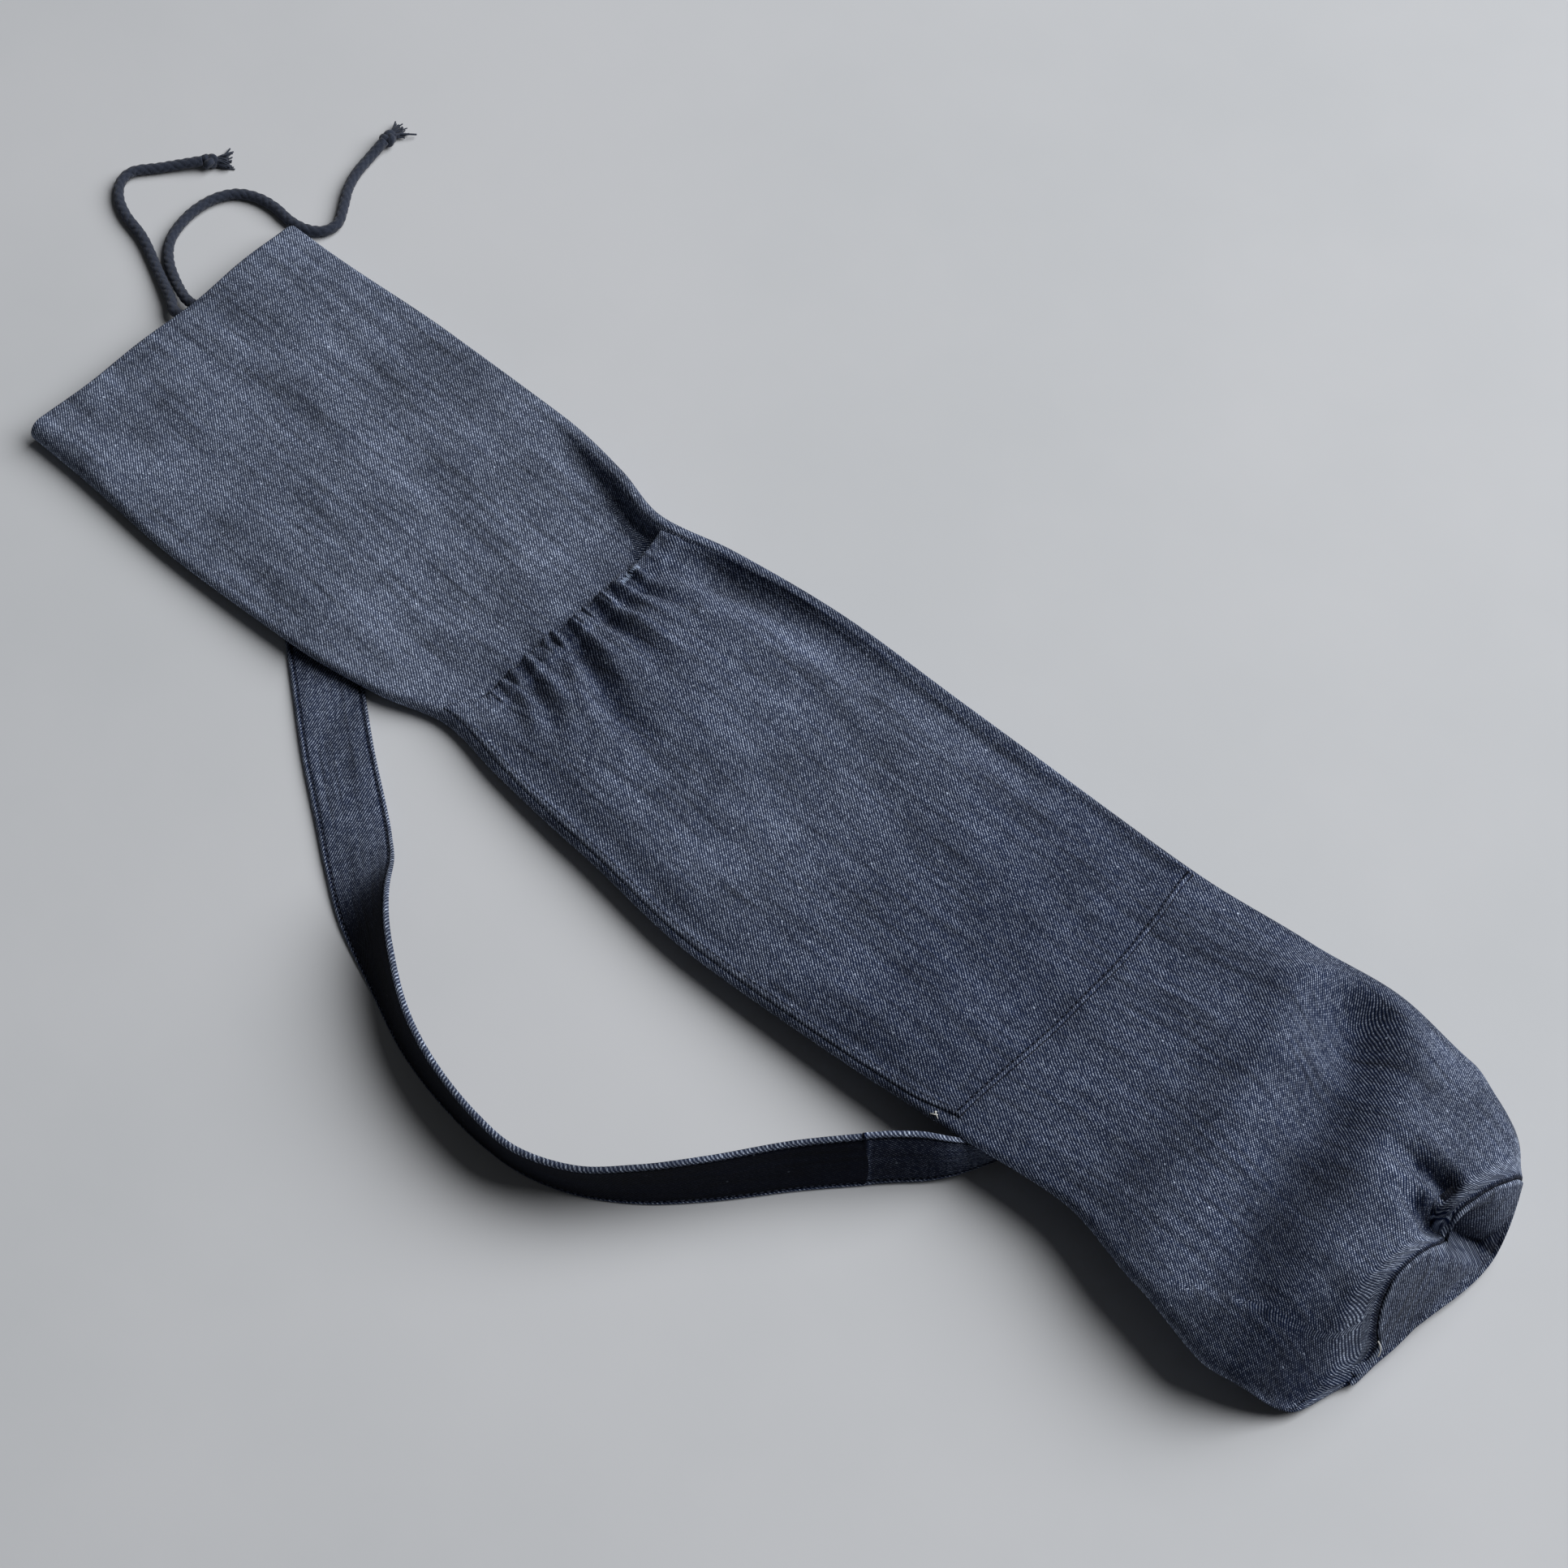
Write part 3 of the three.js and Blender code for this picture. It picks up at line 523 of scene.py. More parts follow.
denim = denim_material("denim_twill", linear(8, 23, 53), linear(180, 192, 213))
cord_cotton = cord_material("cord_braid", linear(26, 31, 44), linear(74, 82, 100))
navy_thread = thread_material("thread_navy", linear(30, 36, 52), linear(72, 82, 104))
pale_thread = thread_material("thread_pale", linear(96, 112, 140), linear(170, 184, 206))
white_thread = thread_material("thread_white", linear(176, 176, 172), linear(236, 236, 232))
elastic_band = thread_material("elastic_band", linear(190, 188, 182), linear(226, 224, 218))


def settle(piece, material, slot, *nodes):
    """Gives a piece its finish and its place on the bag."""
    piece.data.materials.clear()
    piece.data.materials.append(material)
    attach(piece, "root")
    if nodes:
        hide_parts(*nodes)
    return piece


# Camera
camera = bpy.data.objects.new("camera", bpy.data.cameras.new("camera"))
bpy.context.scene.collection.objects.link(camera)
camera.data.lens = CAMERA_LENS
camera.data.sensor_width = CAMERA_SENSOR
camera.data.clip_end = CAMERA_FAR
ground = math.cos(CAMERA_ELEVATION)
behind = np.array([
    math.sin(CAMERA_AZIMUTH) * ground, -math.cos(CAMERA_AZIMUTH) * ground, math.sin(CAMERA_ELEVATION),
])
camera.location = LOOK_AT + behind * CAMERA_DISTANCE
camera.rotation_euler = (math.pi / 2 - CAMERA_ELEVATION, 0, CAMERA_AZIMUTH)
bpy.context.scene.camera = camera


# Drawstring: a round braid of strands that pass over and under each other
BRAID_STRANDS = 4
BRAID_PITCH = 4.6
BRAID_CORE, BRAID_RISE = 0.73, 0.22


def braid(turn, along):
    """Share of the cord's radius at an angle and a distance along it."""
    right = BRAID_STRANDS * turn / (2 * math.pi) + along / BRAID_PITCH
    left = BRAID_STRANDS * turn / (2 * math.pi) - along / BRAID_PITCH
    over = (np.floor(right) + np.floor(left)) % 2 == 0
    f = np.where(over, right - np.floor(right), left - np.floor(left))
    g = np.where(over, left - np.floor(left), right - np.floor(right))
    height = np.sqrt(np.maximum(0, 1 - (2 * f - 1) ** 2)) * (0.75 + 0.25 * np.sin(math.pi * g))
    return BRAID_CORE + BRAID_RISE * height


def cord_path(exit_y, route):
    """Way of a free end: out of the hem, down to the floor, and up into its knot."""
    places = [[CORD_START_X, exit_y], [CORD_START_X - CORD_DIAMETER, exit_y], *route]
    points = np.array([[x, y, CORD_LIFT] for x, y in places], float)
    out = CORD_START_X - points[:EXIT_POINTS, 0]
    points[:EXIT_POINTS, 2] += EXIT_RISE * (1 - smooth(0, EXIT_REACH, out))
    points[-1, 2] += KNOT_RISE
    line = through(points, 60)
    return spaced(line, int(length_of(line) / CORD_STEP))


def strand(name, start, heading, length, radius):
    t = np.linspace(0, 1, 9)[:, None]
    bend = rng.normal(0, FRAY_BEND, 3)
    path = start + (heading * t + bend * t * t) * length
    path[:, 2] = np.maximum(path[:, 2] - FRAY_DROOP * t[:, 0] ** 2, radius + 0.1)
    return tube_object(name, path, radius * (1 - FRAY_TAPER * t[:, 0]), THREAD_SIDES)


def knot_object(name, path):
    """Overhand knot at the end of a cord, and the frayed strands beyond it."""
    ahead = path[-1] - path[-8]
    ahead[2] = 0
    ahead = ahead / np.linalg.norm(ahead)
    aside = np.array([-ahead[1], ahead[0], 0])
    middle = path[-1] + ahead * KNOT_AHEAD
    t = np.linspace(KNOT_OPENING, 2 * math.pi - KNOT_OPENING, 150)
    flat_one = np.sin(t) + 2 * np.sin(2 * t)
    flat_two = np.cos(t) - 2 * np.cos(2 * t)
    line = middle + KNOT_SIZE * (flat_one[:, None] * aside - flat_two[:, None] * ahead)
    line[:, 2] = KNOT_HEIGHT - KNOT_WAVE * np.sin(3 * t)
    parts = [tube_object(name, line, KNOT_ROPE, KNOT_SIDES, braid)]
    end = middle + ahead * FRAY_AHEAD
    end[2] = FRAY_HEIGHT
    for k in range(FRAY_STRANDS):
        spread = rng.normal(0, FRAY_SPREAD, 2)
        heading = ahead + aside * spread[0] + np.array([0, 0, spread[1] * 0.6])
        start = end + aside * rng.uniform(-1.6, 1.6) + np.array([0, 0, rng.uniform(-1.4, 1.4)])
        length, radius = rng.uniform(*FRAY_LENGTH), rng.uniform(*FRAY_RADIUS)
        parts.append(strand(f"fray_{k}", start, heading, length, radius))
    return joined(name, parts)


for name, exit_y, route in (("short", EXIT_SHORT_Y, SHORT_END), ("long", EXIT_LONG_Y, LONG_END)):
    path = cord_path(exit_y, route)
    cord = tube_object(f"cord_{name}_end", path, CORD_DIAMETER / 2, CORD_SIDES, braid)
    knot = knot_object(f"cord_{name}_knot", path)
    settle(cord, cord_cotton, "cord", f"drawstring_{name}_end")
    settle(knot, cord_cotton, "cord", f"knot_{name}_end")


# How the empty bag lies at places along it: x, middle line, half width, height of the top,
# height of the left fold, height of the right fold, fold radius
STATIONS = np.array([
    [MOUTH_X, 2.0, 90.0, MOUTH_HEIGHT, 7.0, 7.0, 7.0],
    [HEM_END_X, 2.0, 90.5, MOUTH_HEIGHT - 1, 6.5, 6.5, 6.0],
    [-294, 1.6, 94.6, 12.0, 7.5, 7.0, 2.2],
    [-214, 1.5, 92.5, 11.0, 9.5, 11.0, 2.8],
    [-166, 1.3, 84.7, 8.5, 8.0, 16.0, 3.8],
    [-132, 2.4, 75.0, 8.5, 5.2, 18.6, 4.6],
    [-93, 4.0, 82.2, 10.5, 7.5, 17.2, 4.2],
    [-35, 4.5, 88.9, 14.0, 10.5, 16.6, 3.2],
    [46, 0.9, 92.9, 17.5, 13.0, 17.0, 2.2],
    [127, 1.6, 91.6, 23.0, 18.0, 18.0, 2.2],
    [192, 2.3, 89.3, 30.0, 24.0, 22.0, 2.2],
    [255, 6.0, 88.0, 40.0, 28.0, 28.0, 2.6],
    [307, 1.3, 94.3, 50.0, 31.5, 34.0, 3.2],
    [349, -6.4, 94.6, 57.0, 28.0, 37.0, 3.4],
    [368, -8.0, 89.0, 61.0, 23.0, 38.0, 3.4],
    [381, -8.6, 83.9, 63.0, 19.0, 38.0, 3.4],
    [393, -9.0, 74.6, 63.0, 14.0, 38.0, 3.4],
    [BASE_X, -1.0, 58.0, 62.0, 10.0, 38.0, 3.4],
])
FLAT_SHARE = 0.3
CROWN_POWER = 0.7

# The neck: where it comes in and goes out along the bag, how flat it is, how steep its left side is,
# how far in from the right edge the raised fold's crest is, and how soon it falls away
NECK_IN, NECK_OUT, NECK_SHARE = (-300, -185), (-60, 60), 0.96
NECK_LEFT_POWER = 6
RIDGE_CREST, RIDGE_FALL = 6.0, 3.3

# Seam between the tube and the base, as y, z and x: the upper side from right to left, then the lower side
SEAM_UPPER = [
    [57, 40, 401.4], [53, 47, 401.0], [46, 52.5, 400.2], [40, 56.5, 399.2], [34, 58.8, 398.2],
    [24, 60.5, 396.6], [16.5, 60, 395.5], [12.6, 55, 394.6], [11.5, 48, 394.4], [10.8, 42, 395.0],
    [5.4, 46, 395.6], [-1, 51, 395.3], [-8, 55.5, 395.1], [-14, 58, 394.9], [-20, 59.2, 394.7],
    [-26, 58.8, 394.4], [-31.2, 55.5, 394.2], [-37.2, 45, 394.9], [-39.4, 33, 395.9], [-39.6, 22, 396.8],
    [-39, 15.5, 397.7], [-40, 10.5, 398.4], [-45.2, 7.2, 398.6], [-51.5, 5, 398.7], [-58.9, 4, 398.8],
]
SEAM_LOWER = [
    [-58.9, 4, 398.8], [-57, 1.6, 399.0], [-45, 0.6, 399.0], [-30, 0.5, 399.5], [-10, 0.5, 402.5],
    [11, 0.5, 405.5], [27, 0.8, 406.5], [38, 3, 406.0], [47, 12, 404.6], [54, 26, 402.6], [57, 40, 401.4],
]
SEAM_POINTS = 600
SEAM_MIDDLE_Z = 24.0
SEAM_CENTRE, SEAM_HALF, SEAM_TOP = STATIONS[-1, 1:4]

# Lines on the upper cloth, as x and y: valleys along the right fold, the soft dip before the base and
# the line of painted shade on its flank, the dent beside the seam, and the two hollows of the seam's pinch
# with the lines of their painted shade
NECK_VALLEY = [[-128, 65], [-150, 70.5], [-172, 76], [-205, 82], [-250, 86]]
RIM_VALLEY = [[-126, 60], [-93, 68], [-35, 75], [46, 78], [110, 80]]
BASE_DIP = [[296, 66], [310, 45], [319, 15], [324, -20], [332, -52], [342, -80]]
DIP_FLANK = [[306, 62], [320, 47], [329, 20], [334, -20], [342, -50], [350, -78]]
LEFT_DENT = [[404, -47], [396, -52], [386, -58], [372, -64]]
PINCH = [[390.5, 15.5], [387, 18.8], [383.5, 20.6], [380, 21.4], [370, 21], [360, 20.5], [352, 19]]
PINCH_SIDE = [[391.5, 8.5], [388.5, 5.6], [385, 4.4], [379.5, 4.8], [374, 7], [369, 9]]
PINCH_SHADE = [[386, 22.6], [382.6, 23.4], [372.5, 23], [362, 22.6]]
PINCH_SIDE_SHADE = [[393, 10], [388.5, 7.2], [381.2, 7.2], [376, 9.6]]

# Each valley's line, depth, width, spread, rim and fade
UPPER_VALLEYS = [
    (NECK_VALLEY, 2.6, 5.0, 0.7, 0.1, 0.8),
    (RIM_VALLEY, 4.5, 8.0, 0.5, 0.1, 0.7),
    (BASE_DIP, 12.0, 16.0, 0.3, 0.35, 0.2),
    (LEFT_DENT, 6.0, 8.0, 0.9, 0.25, 1.2),
]
PINCH_VALLEYS = [
    (PINCH, 7.5, 5.0, 0.2, 0.3, 0.4),
    (PINCH_SIDE, 7.0, 4.6, 0.2, 0.3, 0.5),
]

# Unevenness of the upper cloth: its height, wavelength and seed, and where it comes in and goes out
UNEVEN = [
    ((0.8, 95, 3), (-395, -360), (385, 400)),
    ((0.5, 42, 5), (-402, -380), (370, 395)),
]
HEM_WAVE, HEM_WAVE_OUT = 0.8, (-402, -345)

# Towards its end the tube turns into the seam's outline, which is drawn in and pinched
DRAWN_FROM_X, END_FROM_X, PINCH_FROM_X = 345, 368, 384
END_POWER = 1.2
RELIEF_EDGE = (1.0, 0.82)


def lie_at(x):
    return [monotone(STATIONS[:, 0], STATIONS[:, k], x) for k in range(1, 7)]


def upper_middle(x, share, lie):
    """Height of the upper cloth without its folds; share runs from the left fold to the right one."""
    centre, half, top, left, right, fold_round = lie
    fold = mix(left, right, (share + 1) / 2)
    soft = np.maximum(0, 1 - share ** 2) ** CROWN_POWER
    ridge = np.exp(-np.maximum(0, half * (1 - share) - RIDGE_CREST) / RIDGE_FALL)
    steep = np.where(share > 0, 1 - ridge, 1 - np.abs(share) ** NECK_LEFT_POWER)
    neck = smooth(*NECK_IN, x) * (1 - smooth(*NECK_OUT, x))
    return fold + (top - fold_round - fold) * mix(soft, steep, NECK_SHARE * neck)


def edge_round(distance, radius):
    d = np.minimum(distance, radius)
    return np.sqrt(np.maximum(0, 2 * radius * d - d * d))


def upper_relief(x, y):
    """Folds and dips of the upper cloth."""
    z = np.zeros(np.broadcast(x, y).shape)
    for waves, come_in, go_out in UNEVEN:
        z += ripples(x, y, *waves) * smooth(*come_in, x) * (1 - smooth(*go_out, x))
    z += HEM_WAVE * np.sin(y / 13.0 + 0.6) * (1 - smooth(*HEM_WAVE_OUT, x)) * np.cos(y / 41.0)
    for line, *form in UPPER_VALLEYS:
        z += valley(x, y, line, *form)
    return z


def pinch_relief(x, y):
    """Two hollows that run from the seam's pinch into the tube, and the ridge between them."""
    return sum(valley(x, y, line, *form) for line, *form in PINCH_VALLEYS)


# Angles round the tube, closer together at the folds; the upper cloth is the first half
ANGLES = 180
turns = np.linspace(0, 2 * math.pi, ANGLES, endpoint=False)
turns = turns - 0.15 * np.sin(2 * turns)


def seam_ring():
    upper, lower = through(SEAM_UPPER, SEAM_POINTS), through(SEAM_LOWER, SEAM_POINTS)
    share = np.where(turns <= math.pi, turns / math.pi, turns / math.pi - 1)
    along = np.linspace(0, 1, SEAM_POINTS)
    return [
        np.where(turns <= math.pi, np.interp(share, along, upper[:, k]), np.interp(share, along, lower[:, k]))
        for k in range(3)
    ]


seam_y, seam_z, seam_x = seam_ring()

# How far each place of the seam is drawn into the bag, and how far its pinch lies below the seam beside it
drawn_in = BASE_X - seam_x
pinched = np.maximum(0, np.interp(seam_y, [-9, 17], [56, 60], 0, 0) - seam_z) * (turns < math.pi)


def seam_inset(inset, widen=1.0, raise_by=1.0):
    """The seam's outline set in by some millimetres, and widened about its middle."""
    away_y, away_z = seam_y[None, :] - SEAM_CENTRE, seam_z[None, :] - SEAM_MIDDLE_Z
    shrink = 1 - inset / np.maximum(np.hypot(away_y, away_z), 12)
    y = SEAM_CENTRE + away_y * shrink * widen
    return y, np.maximum((SEAM_MIDDLE_Z + away_z * shrink) * raise_by, 0.3)


def body_rings(x, inset):
    """Sections of the tube at places x, set in from the outer face."""
    x = np.asarray(x, float)[:, None]
    inset = np.broadcast_to(np.asarray(inset, float).reshape(-1, 1), x.shape)
    lie = lie_at(x)
    centre, half, top, left, right, fold_round = lie
    share = np.cos(turns)[None, :]
    inner_half = half - inset
    y = centre + inner_half * share
    bend = edge_round(inner_half * (1 - np.abs(share)), fold_round - inset)
    fold = np.where(share < 0, left, right)
    rise = np.maximum(0, (np.abs(share) - FLAT_SHARE) / (1 - FLAT_SHARE)) ** 2
    low = fold_round + (fold - fold_round) * rise - bend
    high = upper_middle(x, share, lie) + bend
    above = np.sin(turns)[None, :] >= 0
    inwards = smooth(*RELIEF_EDGE, np.abs(share))
    z = np.where(above, high + upper_relief(x + 0 * y, y) * inwards, low)
    end_y, end_z = seam_inset(inset, half / SEAM_HALF, top / SEAM_TOP)
    end_z = end_z + pinched[None, :] * (1 - smooth(PINCH_FROM_X, BASE_X - 2.5, x))
    ends = smooth(END_FROM_X, BASE_X - 2, x) ** END_POWER
    y = mix(y, end_y + centre - SEAM_CENTRE, ends)
    z = mix(z, end_z, ends)
    lie_x = x - drawn_in[None, :] * smooth(DRAWN_FROM_X, BASE_X - 2, x)
    z = z + np.where(above, pinch_relief(lie_x, y), 0) * (1 - smooth(BASE_X - 10, BASE_X - 3.4, x))
    return np.stack([lie_x, y, z], -1)


# How much of a slope counts in the weave, where the weave is laid straight, and where the base's end begins
WEAVE_SLOPE = 0.7
WEAVE_LAID = (190, 300)
BASE_END_X = 348.0


def body_uv(rings, x):
    """Weave coordinates: round the bag from the middle of its top, and along it down to the base's seam."""
    x = np.asarray(x, float)[:, None]
    centre, half, top = lie_at(x)[:3]
    y, z = rings[..., 1] - centre, rings[..., 2]
    arc = np.hypot(np.diff(y, axis=1), WEAVE_SLOPE * np.diff(z, axis=1))
    arc = np.concatenate([np.zeros((len(x), 1)), np.cumsum(arc, 1)], 1)
    arc = arc[:, ANGLES // 4:ANGLES // 4 + 1] - arc
    last = int(np.argmin(np.abs(x[:, 0] - BASE_END_X)))
    drop = WEAVE_SLOPE * (top - z)
    drop[:last] = drop[last]
    laid = y + drop * np.clip(2 * y / half, -1, 1)
    upper = mix(arc, laid, smooth(*WEAVE_LAID, x))
    fold = ANGLES // 2
    lower = upper[:, fold:fold + 1] - (y - y[:, fold:fold + 1])
    around = np.concatenate([upper[:, :fold + 1], lower[:, fold + 1:], lower[:, :1]], 1)
    along = rings[..., 0].copy()
    stepped = np.hypot(np.diff(along[:last + 1], axis=0), np.diff(z[:last + 1], axis=0))
    along[:last] = along[last] + np.cumsum(stepped[::-1], 0)[::-1]
    along = np.concatenate([along, along[:, :1]], 1)
    return np.stack([around, along], -1)


# Tone of the body: painted shade in the tuck and a paler edge at the seam of the base, painted light at the
# mouth fading out in the neck, painted shade on the dip's flank, in the pinch, low on the left of the base
# and below the pocket, and paler wear along both folds
TUCK_PAINTED_SHADE, SEAM_WEAR = -0.6, 0.25
MOUTH_PAINTED_LIGHT, MOUTH_PAINTED_LIGHT_OUT = 0.28, (-190, -60)
FLANK_PAINTED_SHADE, FLANK_WIDTH, FLANK_SPREAD, FLANK_LEFT = 0.26, 21.0, 0.2, (-92, -45)
PINCH_PAINTED_SHADE, PINCH_PAINTED_SHADE_WIDTH = 0.75, 3.6
LOW_LEFT_PAINTED_SHADE, LOW_LEFT_Y, LOW_LEFT_X = 0.45, (-48, -80), (335, 385)
BELOW_POCKET_PAINTED_SHADE, BELOW_POCKET_IN, BELOW_POCKET_OUT = 0.12, (150, 200), (330, 270)
FOLD_WEAR = (0.35, 0, 0.004)


def body_wear_and_shade(rings, outside):
    """Wear and painted light and shade of the body, whose first rings are its outside from the base to the
    mouth.
    """
    wear_and_shade = np.zeros(rings.shape[:2])
    # painted shade in the tuck at the base's seam
    wear_and_shade[-4:-1] = TUCK_PAINTED_SHADE
    wear_and_shade[:3] = SEAM_WEAR
    shown = wear_and_shade[:outside]
    x, y = rings[:outside, :, 0], rings[:outside, :, 1]
    above = np.sin(turns) > 0
    # painted light: paler towards the mouth, fading out in the neck
    shown += MOUTH_PAINTED_LIGHT * (1 - smooth(*MOUTH_PAINTED_LIGHT_OUT, x))
    # painted shade on the flank of the dip before the base, fading out on the left
    flank, _ = crease(x, y, DIP_FLANK, FLANK_WIDTH, FLANK_SPREAD)
    shown -= FLANK_PAINTED_SHADE * smooth(*FLANK_LEFT, y) * np.exp(-flank ** 2) * above
    # painted shade in the two hollows of the seam's pinch
    for line in (PINCH_SHADE, PINCH_SIDE_SHADE):
        shade, at = crease(x, y, line, PINCH_PAINTED_SHADE_WIDTH, 0.0)
        shown -= PINCH_PAINTED_SHADE * np.exp(-shade ** 2) * smooth(0, 0.3, 1 - at) * above
    # painted shade low on the left of the base
    shown -= LOW_LEFT_PAINTED_SHADE * smooth(*LOW_LEFT_Y, y) * smooth(*LOW_LEFT_X, x)
    # painted shade below the pocket
    shown -= BELOW_POCKET_PAINTED_SHADE * smooth(*BELOW_POCKET_IN, x) * smooth(*BELOW_POCKET_OUT, x)
    shown += band(1 - np.abs(np.cos(turns)), *FOLD_WEAR)
    return wear_and_shade


# Places along the body: its outside from the base to the mouth, the hem's rolled edge, its inside,
# and the tuck at the base's seam, with how far each place of the edge and the tuck is set in
OUTSIDE = [
    (BASE_X - 3.2, 34), (348, 24), (255, 40), (-70, 44), (-262, 26), (HEM_END_X, 10), (MOUTH_X + 1.2, 0),
]
EDGE_X = [MOUTH_X + 0.4, MOUTH_X, MOUTH_X, MOUTH_X + 0.6, MOUTH_X + 2.2, HEM_END_X - 1.0, HEM_END_X]
EDGE_INSET = [0.3, 1.1, 3.3, 4.4, HEM_THICKNESS, HEM_THICKNESS, 3.6]
INSIDE = [(HEM_END_X + 0.5, 80), (270, 60), (BASE_X - 9, 0)]
TUCK_BACK = [9, 3.0, 1.0, 0.2, 0.0, 0.5, 1.6]
TUCK_INSET = [4.4, 4.2, 3.6, 2.6, 1.7, 0.9, 0.3]

# The mouth's edge isn't straight: two waves, over the first length of the hem
MOUTH_WAVE_REACH = 26


def body_object():
    outside, inside = steps(*OUTSIDE), steps(*INSIDE)
    x = np.concatenate([outside, EDGE_X, inside, BASE_X - np.array(TUCK_BACK)])
    inset = np.concatenate([np.zeros(len(outside)), EDGE_INSET, np.full(len(inside), DENIM), TUCK_INSET])
    rings = body_rings(x, inset)
    wave = 0.9 * np.sin(rings[..., 1] / 11.0) + 0.8 * np.sin(rings[..., 1] / 27.0 + 1.0)
    rings[..., 0] += wave * (1 - smooth(MOUTH_X, MOUTH_X + MOUTH_WAVE_REACH, rings[..., 0]))
    uv = body_uv(rings, x)
    uv = np.concatenate([uv, uv[:1]], 0)
    wear_and_shade = body_wear_and_shade(rings, len(outside))
    return grid_object("bag_body", rings, uv, wrap_rows=True, wrap_cols=True, wear_and_shade=wear_and_shade)


body = settle(body_object(), denim, "denim", "body_panel")


# Round base, folded in along a crease from the pinch of its seam to the floor
DISC_MIDDLE_Y, DISC_MIDDLE_Z, DISC_MIDDLE_X = 27.0, 11.0, 406.0
DISC_POWER = 1.3
DISC_CREASE = [[12, 46], [20, 29], [29, 14], [38, 1]]
CREASE_TOP_DEPTH, CREASE_LOW_DEPTH = 17.0, 6.0
CREASE_LEFT, CREASE_RIGHT = 5.0, 11.0
CREASE_GROOVE = (2.6, 0.6, 1.7)
DISC_UNEVEN = (0.4, 26, 21)
DISC_GRAIN = math.radians(27)

# Rim of the base inside the tube: how far it is set in, and its place beyond the seam; then its flange
RIM_INSET = [5.4, 4.6, 3.4, 2.6, 2.4, 2.8, 3.8]
RIM_X = BASE_X + np.array([-12.0, -2.5, -0.6, 0.3, 0.9, 1.4, 1.7])
FLANGE_INSET, FLANGE_X = 6.8, [BASE_X + 0.5, BASE_X - 12]

# Tone of the base: a little darker all over, painted shade on the right of its crease, paler on the crease's
# left edge, and at its rim painted shade in the seam with a paler strip
DISC_DARKER = -0.06
DISC_SHADE, DISC_SHADE_OUT, DISC_SHADE_IN = 0.38, (13, 4), (-1.2, 0.4)
CREASE_PALE = (0.25, -2.2, 1.3)
RIM_PAINTED_SHADE, RIM_PALE = -0.7, 0.35


def disc_crease(y, z):
    """How far the base is pushed in along its crease, and the distance from it, below zero on its left."""
    line = through(DISC_CREASE, CREASE_POINTS)
    far, at = crease(y, z, DISC_CREASE, 1.0, 0.0)
    on_right = y > np.interp(z, line[::-1, 1], line[::-1, 0])
    width = np.where(on_right, CREASE_RIGHT, CREASE_LEFT)
    pushed = mix(CREASE_TOP_DEPTH, CREASE_LOW_DEPTH, at) * bell(far, width)
    return pushed, np.where(on_right, far, -far)


def disc_object():
    rim = [seam_inset(inset) for inset in RIM_INSET]
    share = steps((1.0, 48), (0.0, 0))[1:, None]
    y = DISC_MIDDLE_Y + (rim[-1][0] - DISC_MIDDLE_Y) * share
    z = DISC_MIDDLE_Z + (rim[-1][1] - DISC_MIDDLE_Z) * share
    inner = smooth(0, 0.2, 1 - share)
    x = mix(DISC_MIDDLE_X, RIM_X[-1] - drawn_in[None, :], share ** DISC_POWER)
    pushed, beside = disc_crease(y, z)
    x = x - (pushed + band(beside, *CREASE_GROOVE)) * inner + ripples(y, z, *DISC_UNEVEN) * inner
    front = np.stack([x, y, z], -1)
    edge = np.stack([np.stack([rx - drawn_in, ry[0], rz[0]], -1) for rx, (ry, rz) in zip(RIM_X, rim)])
    back = front[::-1][:-4:3].copy()
    back[..., 0] -= DENIM
    tuck_y, tuck_z = seam_inset(FLANGE_INSET)
    flange = np.stack([np.stack([fx - drawn_in, tuck_y[0], tuck_z[0]], -1) for fx in FLANGE_X])
    grid = np.concatenate([back, flange, edge, front])
    turn_y = math.cos(DISC_GRAIN) * grid[..., 1] - math.sin(DISC_GRAIN) * grid[..., 2]
    turn_z = math.sin(DISC_GRAIN) * grid[..., 1] + math.cos(DISC_GRAIN) * grid[..., 2]
    uv = np.stack([turn_y, turn_z + WEAVE_SLOPE * grid[..., 0]], -1)
    uv = np.concatenate([uv, uv[:, :1]], 1)
    beside = disc_crease(grid[..., 1], grid[..., 2])[1]
    # a little darker all over, painted shade on the right of the crease and a paler strip along its left edge
    wear_and_shade = DISC_DARKER - DISC_SHADE * smooth(*DISC_SHADE_OUT, beside) * smooth(*DISC_SHADE_IN, beside)
    wear_and_shade += band(beside, *CREASE_PALE)
    first = len(back) + len(flange)
    # painted shade in the seam at the base's rim
    wear_and_shade[first:first + 3] = RIM_PAINTED_SHADE
    wear_and_shade[first + 4:first + 7] = RIM_PALE
    return grid_object("bag_base", grid, uv, wrap_cols=True, weld=True, wear_and_shade=wear_and_shade)


base = settle(disc_object(), denim, "denim", "base_disc")


# Pocket: gathered on an elastic at the top, its edges folded under. Across runs from its left to its right
POCKET_TOP_X = -126.0
TOP_LEFT_RISE, TOP_RIGHT_RISE = 10.0, 1.0
POCKET_END = np.array([[0.0, 196.5], [0.4, 200.0], [0.6, 199.5], [0.8, 196.0], [1.0, 190.5]])
LEFT_MARGIN, LEFT_MARGIN_TOP, LEFT_CORNER = 2.6, 3.6, 3.6
RIGHT_MARGIN = np.array([[-140.0, 7.5], [-125.0, 7.0], [-60.0, 6.0], [80.0, 5.0], [205.0, 3.2]])
BRIDGE, BRIDGE_OUT = 24.0, (-84, -112)
POCKET_CLEARANCE = 0.15
POCKET_STITCH_INSET = 2.7

